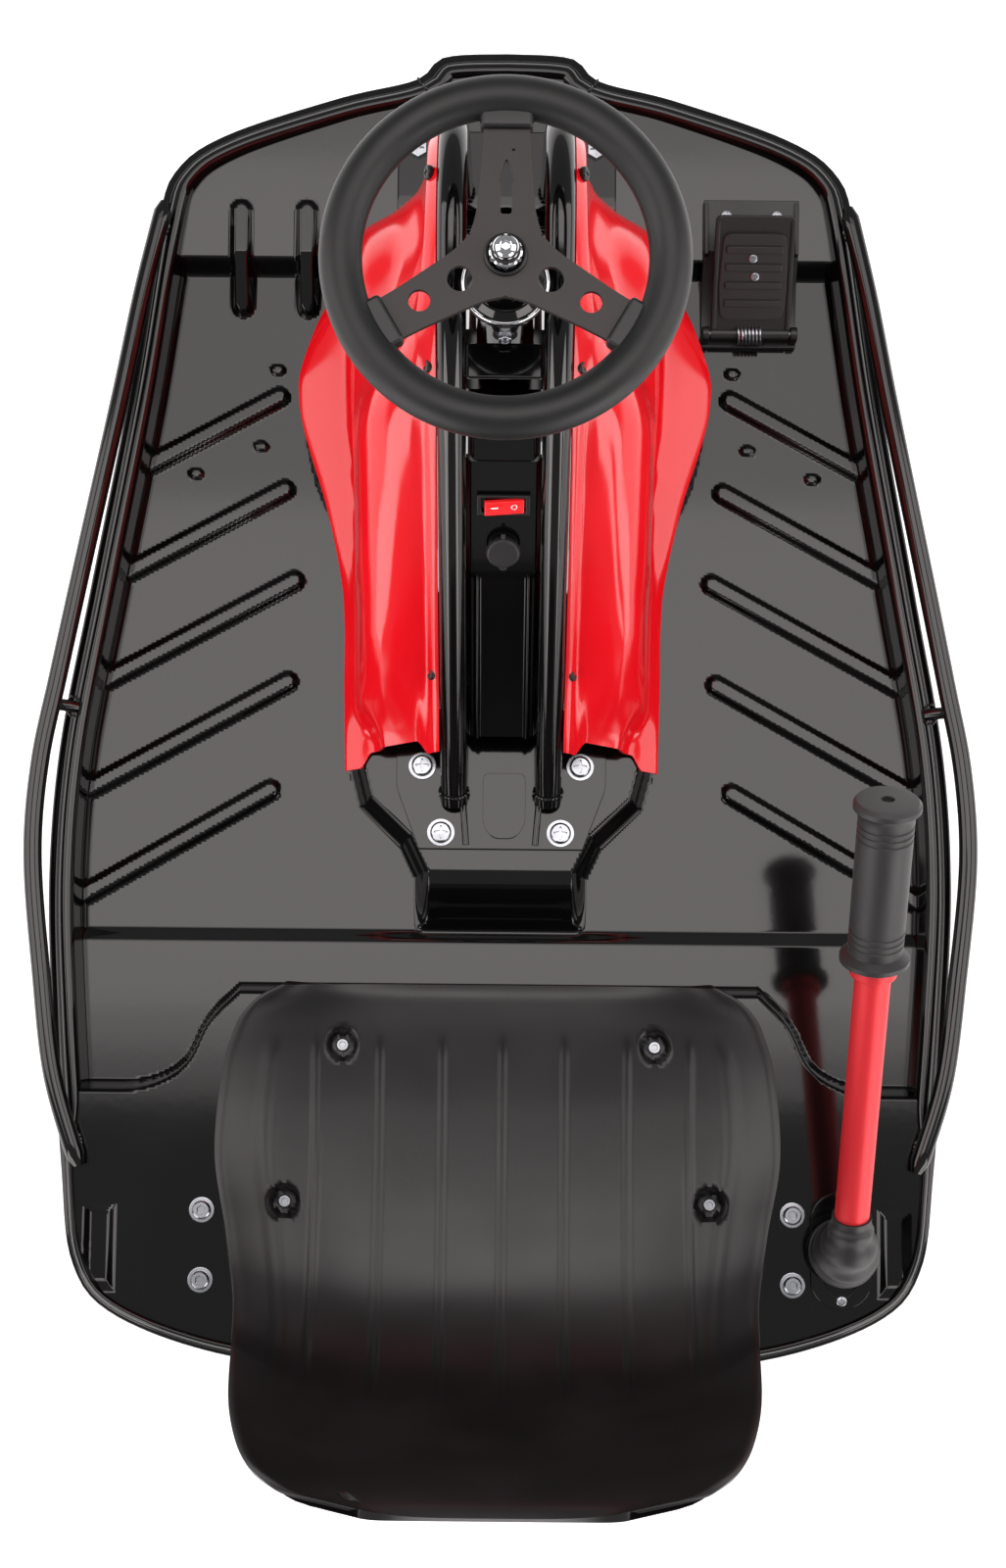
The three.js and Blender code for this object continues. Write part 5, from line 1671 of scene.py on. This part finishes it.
# ------------------------------------------------------------------ casters
@dataclass
class Casters:
    """Tilting caster beam, its bearings, and the rear and front casters."""

    bearing_x: float = 201.0

    def build(self) -> None:
        """Makes the beam, bearings, forks, wheels and axles."""
        eased_cad("caster_beam", RED_POWDER, 0.8)
        for side in ("right", "left"):
            eased_cad(f"beam_bearing_{side}", CAST_ALLOY, 1.2, 3)
            eased_cad(f"rear_caster_fork_{side}", ZINC, 0.8)
            eased_cad(f"rear_caster_axle_{side}", STEEL, 0.4)
            eased_cad(f"front_caster_plate_{side}", ZINC, 0.6)
            eased_cad(f"front_caster_fork_{side}", ZINC, 0.6)
        self.wheel("rear_caster_wheel", "rear_wheel_SIDE", 29.0, 11.0)
        self.wheel("front_caster_wheel", "front_wheel_SIDE", 20.0, 9.0)
        places = [(s * self.bearing_x, BEAM_Y + d, 101.5) for s in (-1, 1) for d in (-23.5, 23.5)]
        bolts("bearing_bolts", Fastener(6.4, 3.8, Recess.ROUND, Recess.HEX, 8.6), places, ZINC)

    def wheel(self, node: str, body: str, radius: float, half: float) -> None:
        """Turns a pair of caster wheels with a sunk web and a rounded tread.

        Args:
            node: The CAD node they stand for, without its side.
            body: The body they ride on, with "SIDE" for the side.
            radius: Radius of the tread.
            half: Half the wheel's width.
        """
        low, high = (Vector(v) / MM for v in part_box(f"{node}_right"))
        middle = (low + high) / 2
        r, w = radius, half
        loop = eased([(3, -w), (r * 0.34, -w), (r * 0.42, -w * 0.55), (r * 0.68, -w * 0.55), (r * 0.76, -w),
                      (r - 3, -w), (r, -w + 4), (r, w - 4), (r - 3, w), (r * 0.76, w), (r * 0.68, w * 0.55),
                      (r * 0.42, w * 0.55), (r * 0.34, w), (3, w)], 1.0, closed=True, steps=2)
        pair(node, placed(turned([*loop, loop[0]], 64), (middle.x, middle.y, middle.z), (1, 0, 0)), CASTER,
             body, node=node)


# ------------------------------------------------------------------ studio
@dataclass
class Studio:
    """Camera, floor and soft lights."""

    camera_at: Point = (0.00135, -0.236, 1.858)
    tilt: float = 6.5
    roll: float = 0.0096
    lens: float = 39.0
    sensor: float = 24.0
    warmth: Point = (1.0, 0.94, 0.93)

    def build(self) -> None:
        """Makes the whole studio."""
        self.camera()
        self.floor()
        # Three softboxes of different depth overlap, so that their reflection fades at both ends.
        for place, (rear, front, radiance) in enumerate(((-0.13, 0.75, 0.9), (-0.20, 1.25, 0.9),
                                                        (-0.28, 1.9, 1.3))):
            self.area(f"softbox_{place}", (0.0, (rear + front) / 2, 2.6 + place * 0.03),
                      (2.3, front - rear), radiance, glossy=True)
        for side in (-1, 1):
            self.area(f"fill_{side + 1}", (side * 2.2, 0.2, 1.5), (1.8, 2.2), 2.6, glossy=True)
            self.area(f"rear_panel_{side + 1}", (side * 1.75, -1.85, 0.75), (1.5, 1.3), 4.5, glossy=True)
        world = bpy.data.worlds.new("studio")
        world.use_nodes = True
        shade = world.node_tree.nodes["Background"]
        shade.inputs["Color"].default_value = (1, 1, 1, 1)
        shade.inputs["Strength"].default_value = 0.3
        bpy.context.scene.world = world
        bpy.context.scene.view_settings.view_transform = "Standard"

    def camera(self) -> None:
        """The camera, above and a little behind, looking down."""
        data = bpy.data.cameras.new("camera")
        data.sensor_fit = "VERTICAL"
        data.sensor_height = self.sensor
        data.lens = self.lens
        data.clip_start = 0.05
        lens = bpy.data.objects.new("camera", data)
        turn = Matrix.Rotation(math.radians(self.tilt), 4, "X") @ Matrix.Rotation(self.roll, 4, "Z")
        lens.matrix_world = Matrix.Translation(self.camera_at) @ turn
        bpy.context.scene.collection.objects.link(lens)
        bpy.context.scene.camera = lens

    def floor(self) -> None:
        """The plain pale floor."""
        mesh = bmesh.new()
        bmesh.ops.create_grid(mesh, x_segments=1, y_segments=1, size=20.0)
        data = bpy.data.meshes.new("studio_floor")
        mesh.to_mesh(data)
        mesh.free()
        ground = bpy.data.objects.new("studio_floor", data)
        bpy.context.scene.collection.objects.link(ground)
        paper = bpy.data.materials.new("white_paper")
        paper.use_nodes = True
        shader = paper.node_tree.nodes["Principled BSDF"]
        for socket, value in (("Base Color", (0.8, 0.8, 0.8, 1)), ("Roughness", 0.9),
                              ("Emission Color", (1, 1, 1, 1)), ("Emission Strength", 0.65)):
            shader.inputs[socket].default_value = value
        data.materials.append(paper)
        self.backdrop()

    def backdrop(self) -> None:
        """A pale dome behind everything, which lights nothing and is seen in no reflection."""
        mesh = bmesh.new()
        bmesh.ops.create_uvsphere(mesh, u_segments=48, v_segments=24, radius=18.0)
        bmesh.ops.reverse_faces(mesh, faces=mesh.faces[:])
        data = bpy.data.meshes.new("studio_dome")
        mesh.to_mesh(data)
        mesh.free()
        dome = bpy.data.objects.new("studio_dome", data)
        bpy.context.scene.collection.objects.link(dome)
        paint = bpy.data.materials.new("white_backdrop")
        paint.use_nodes = True
        shader = paint.node_tree.nodes["Principled BSDF"]
        for socket, value in (("Base Color", (0, 0, 0, 1)), ("Emission Color", (1, 1, 1, 1)),
                              ("Emission Strength", 0.95)):
            shader.inputs[socket].default_value = value
        data.materials.append(paint)
        dome.visible_diffuse = dome.visible_glossy = dome.visible_transmission = False
        dome.visible_shadow = False

    def area(self, name: str, at: Point, size: Point, radiance: float, glossy: bool) -> None:
        """Hangs a soft rectangle of light aimed at the kart.

        Args:
            name: The light's name.
            at: Where it hangs.
            size: Its width and length.
            radiance: Brightness of its face.
            glossy: Whether it shows in reflections.
        """
        data = bpy.data.lights.new(name, "AREA")
        data.shape = "RECTANGLE"
        data.size, data.size_y = size
        data.energy = radiance * size[0] * size[1] * math.pi
        data.color = self.warmth
        lamp = bpy.data.objects.new(name, data)
        lamp.location = at
        aim = Vector((0, 0, 0.15)) - Vector(at) if at[0] else Vector((0, 0, -1))
        lamp.rotation_euler = aim.to_track_quat("-Z", "Y").to_euler()
        lamp.visible_camera = False
        lamp.visible_glossy = glossy
        bpy.context.scene.collection.objects.link(lamp)


def main() -> None:
    """Builds every sub-assembly in order."""
    logging.basicConfig(level=logging.INFO, format="%(name)s: %(message)s")
    for maker in (Studio, Pan, Bumpers, SteeringArch, Fairing, CentreCover, SteeringWheel, DriveUnit,
                  PowerPack, Seat, Pedal, DriftLever, Casters):
        LOG.info("building %s", maker.__name__)
        maker().build()
    bpy.context.view_layer.update()


if __name__ == "__main__":
    main()
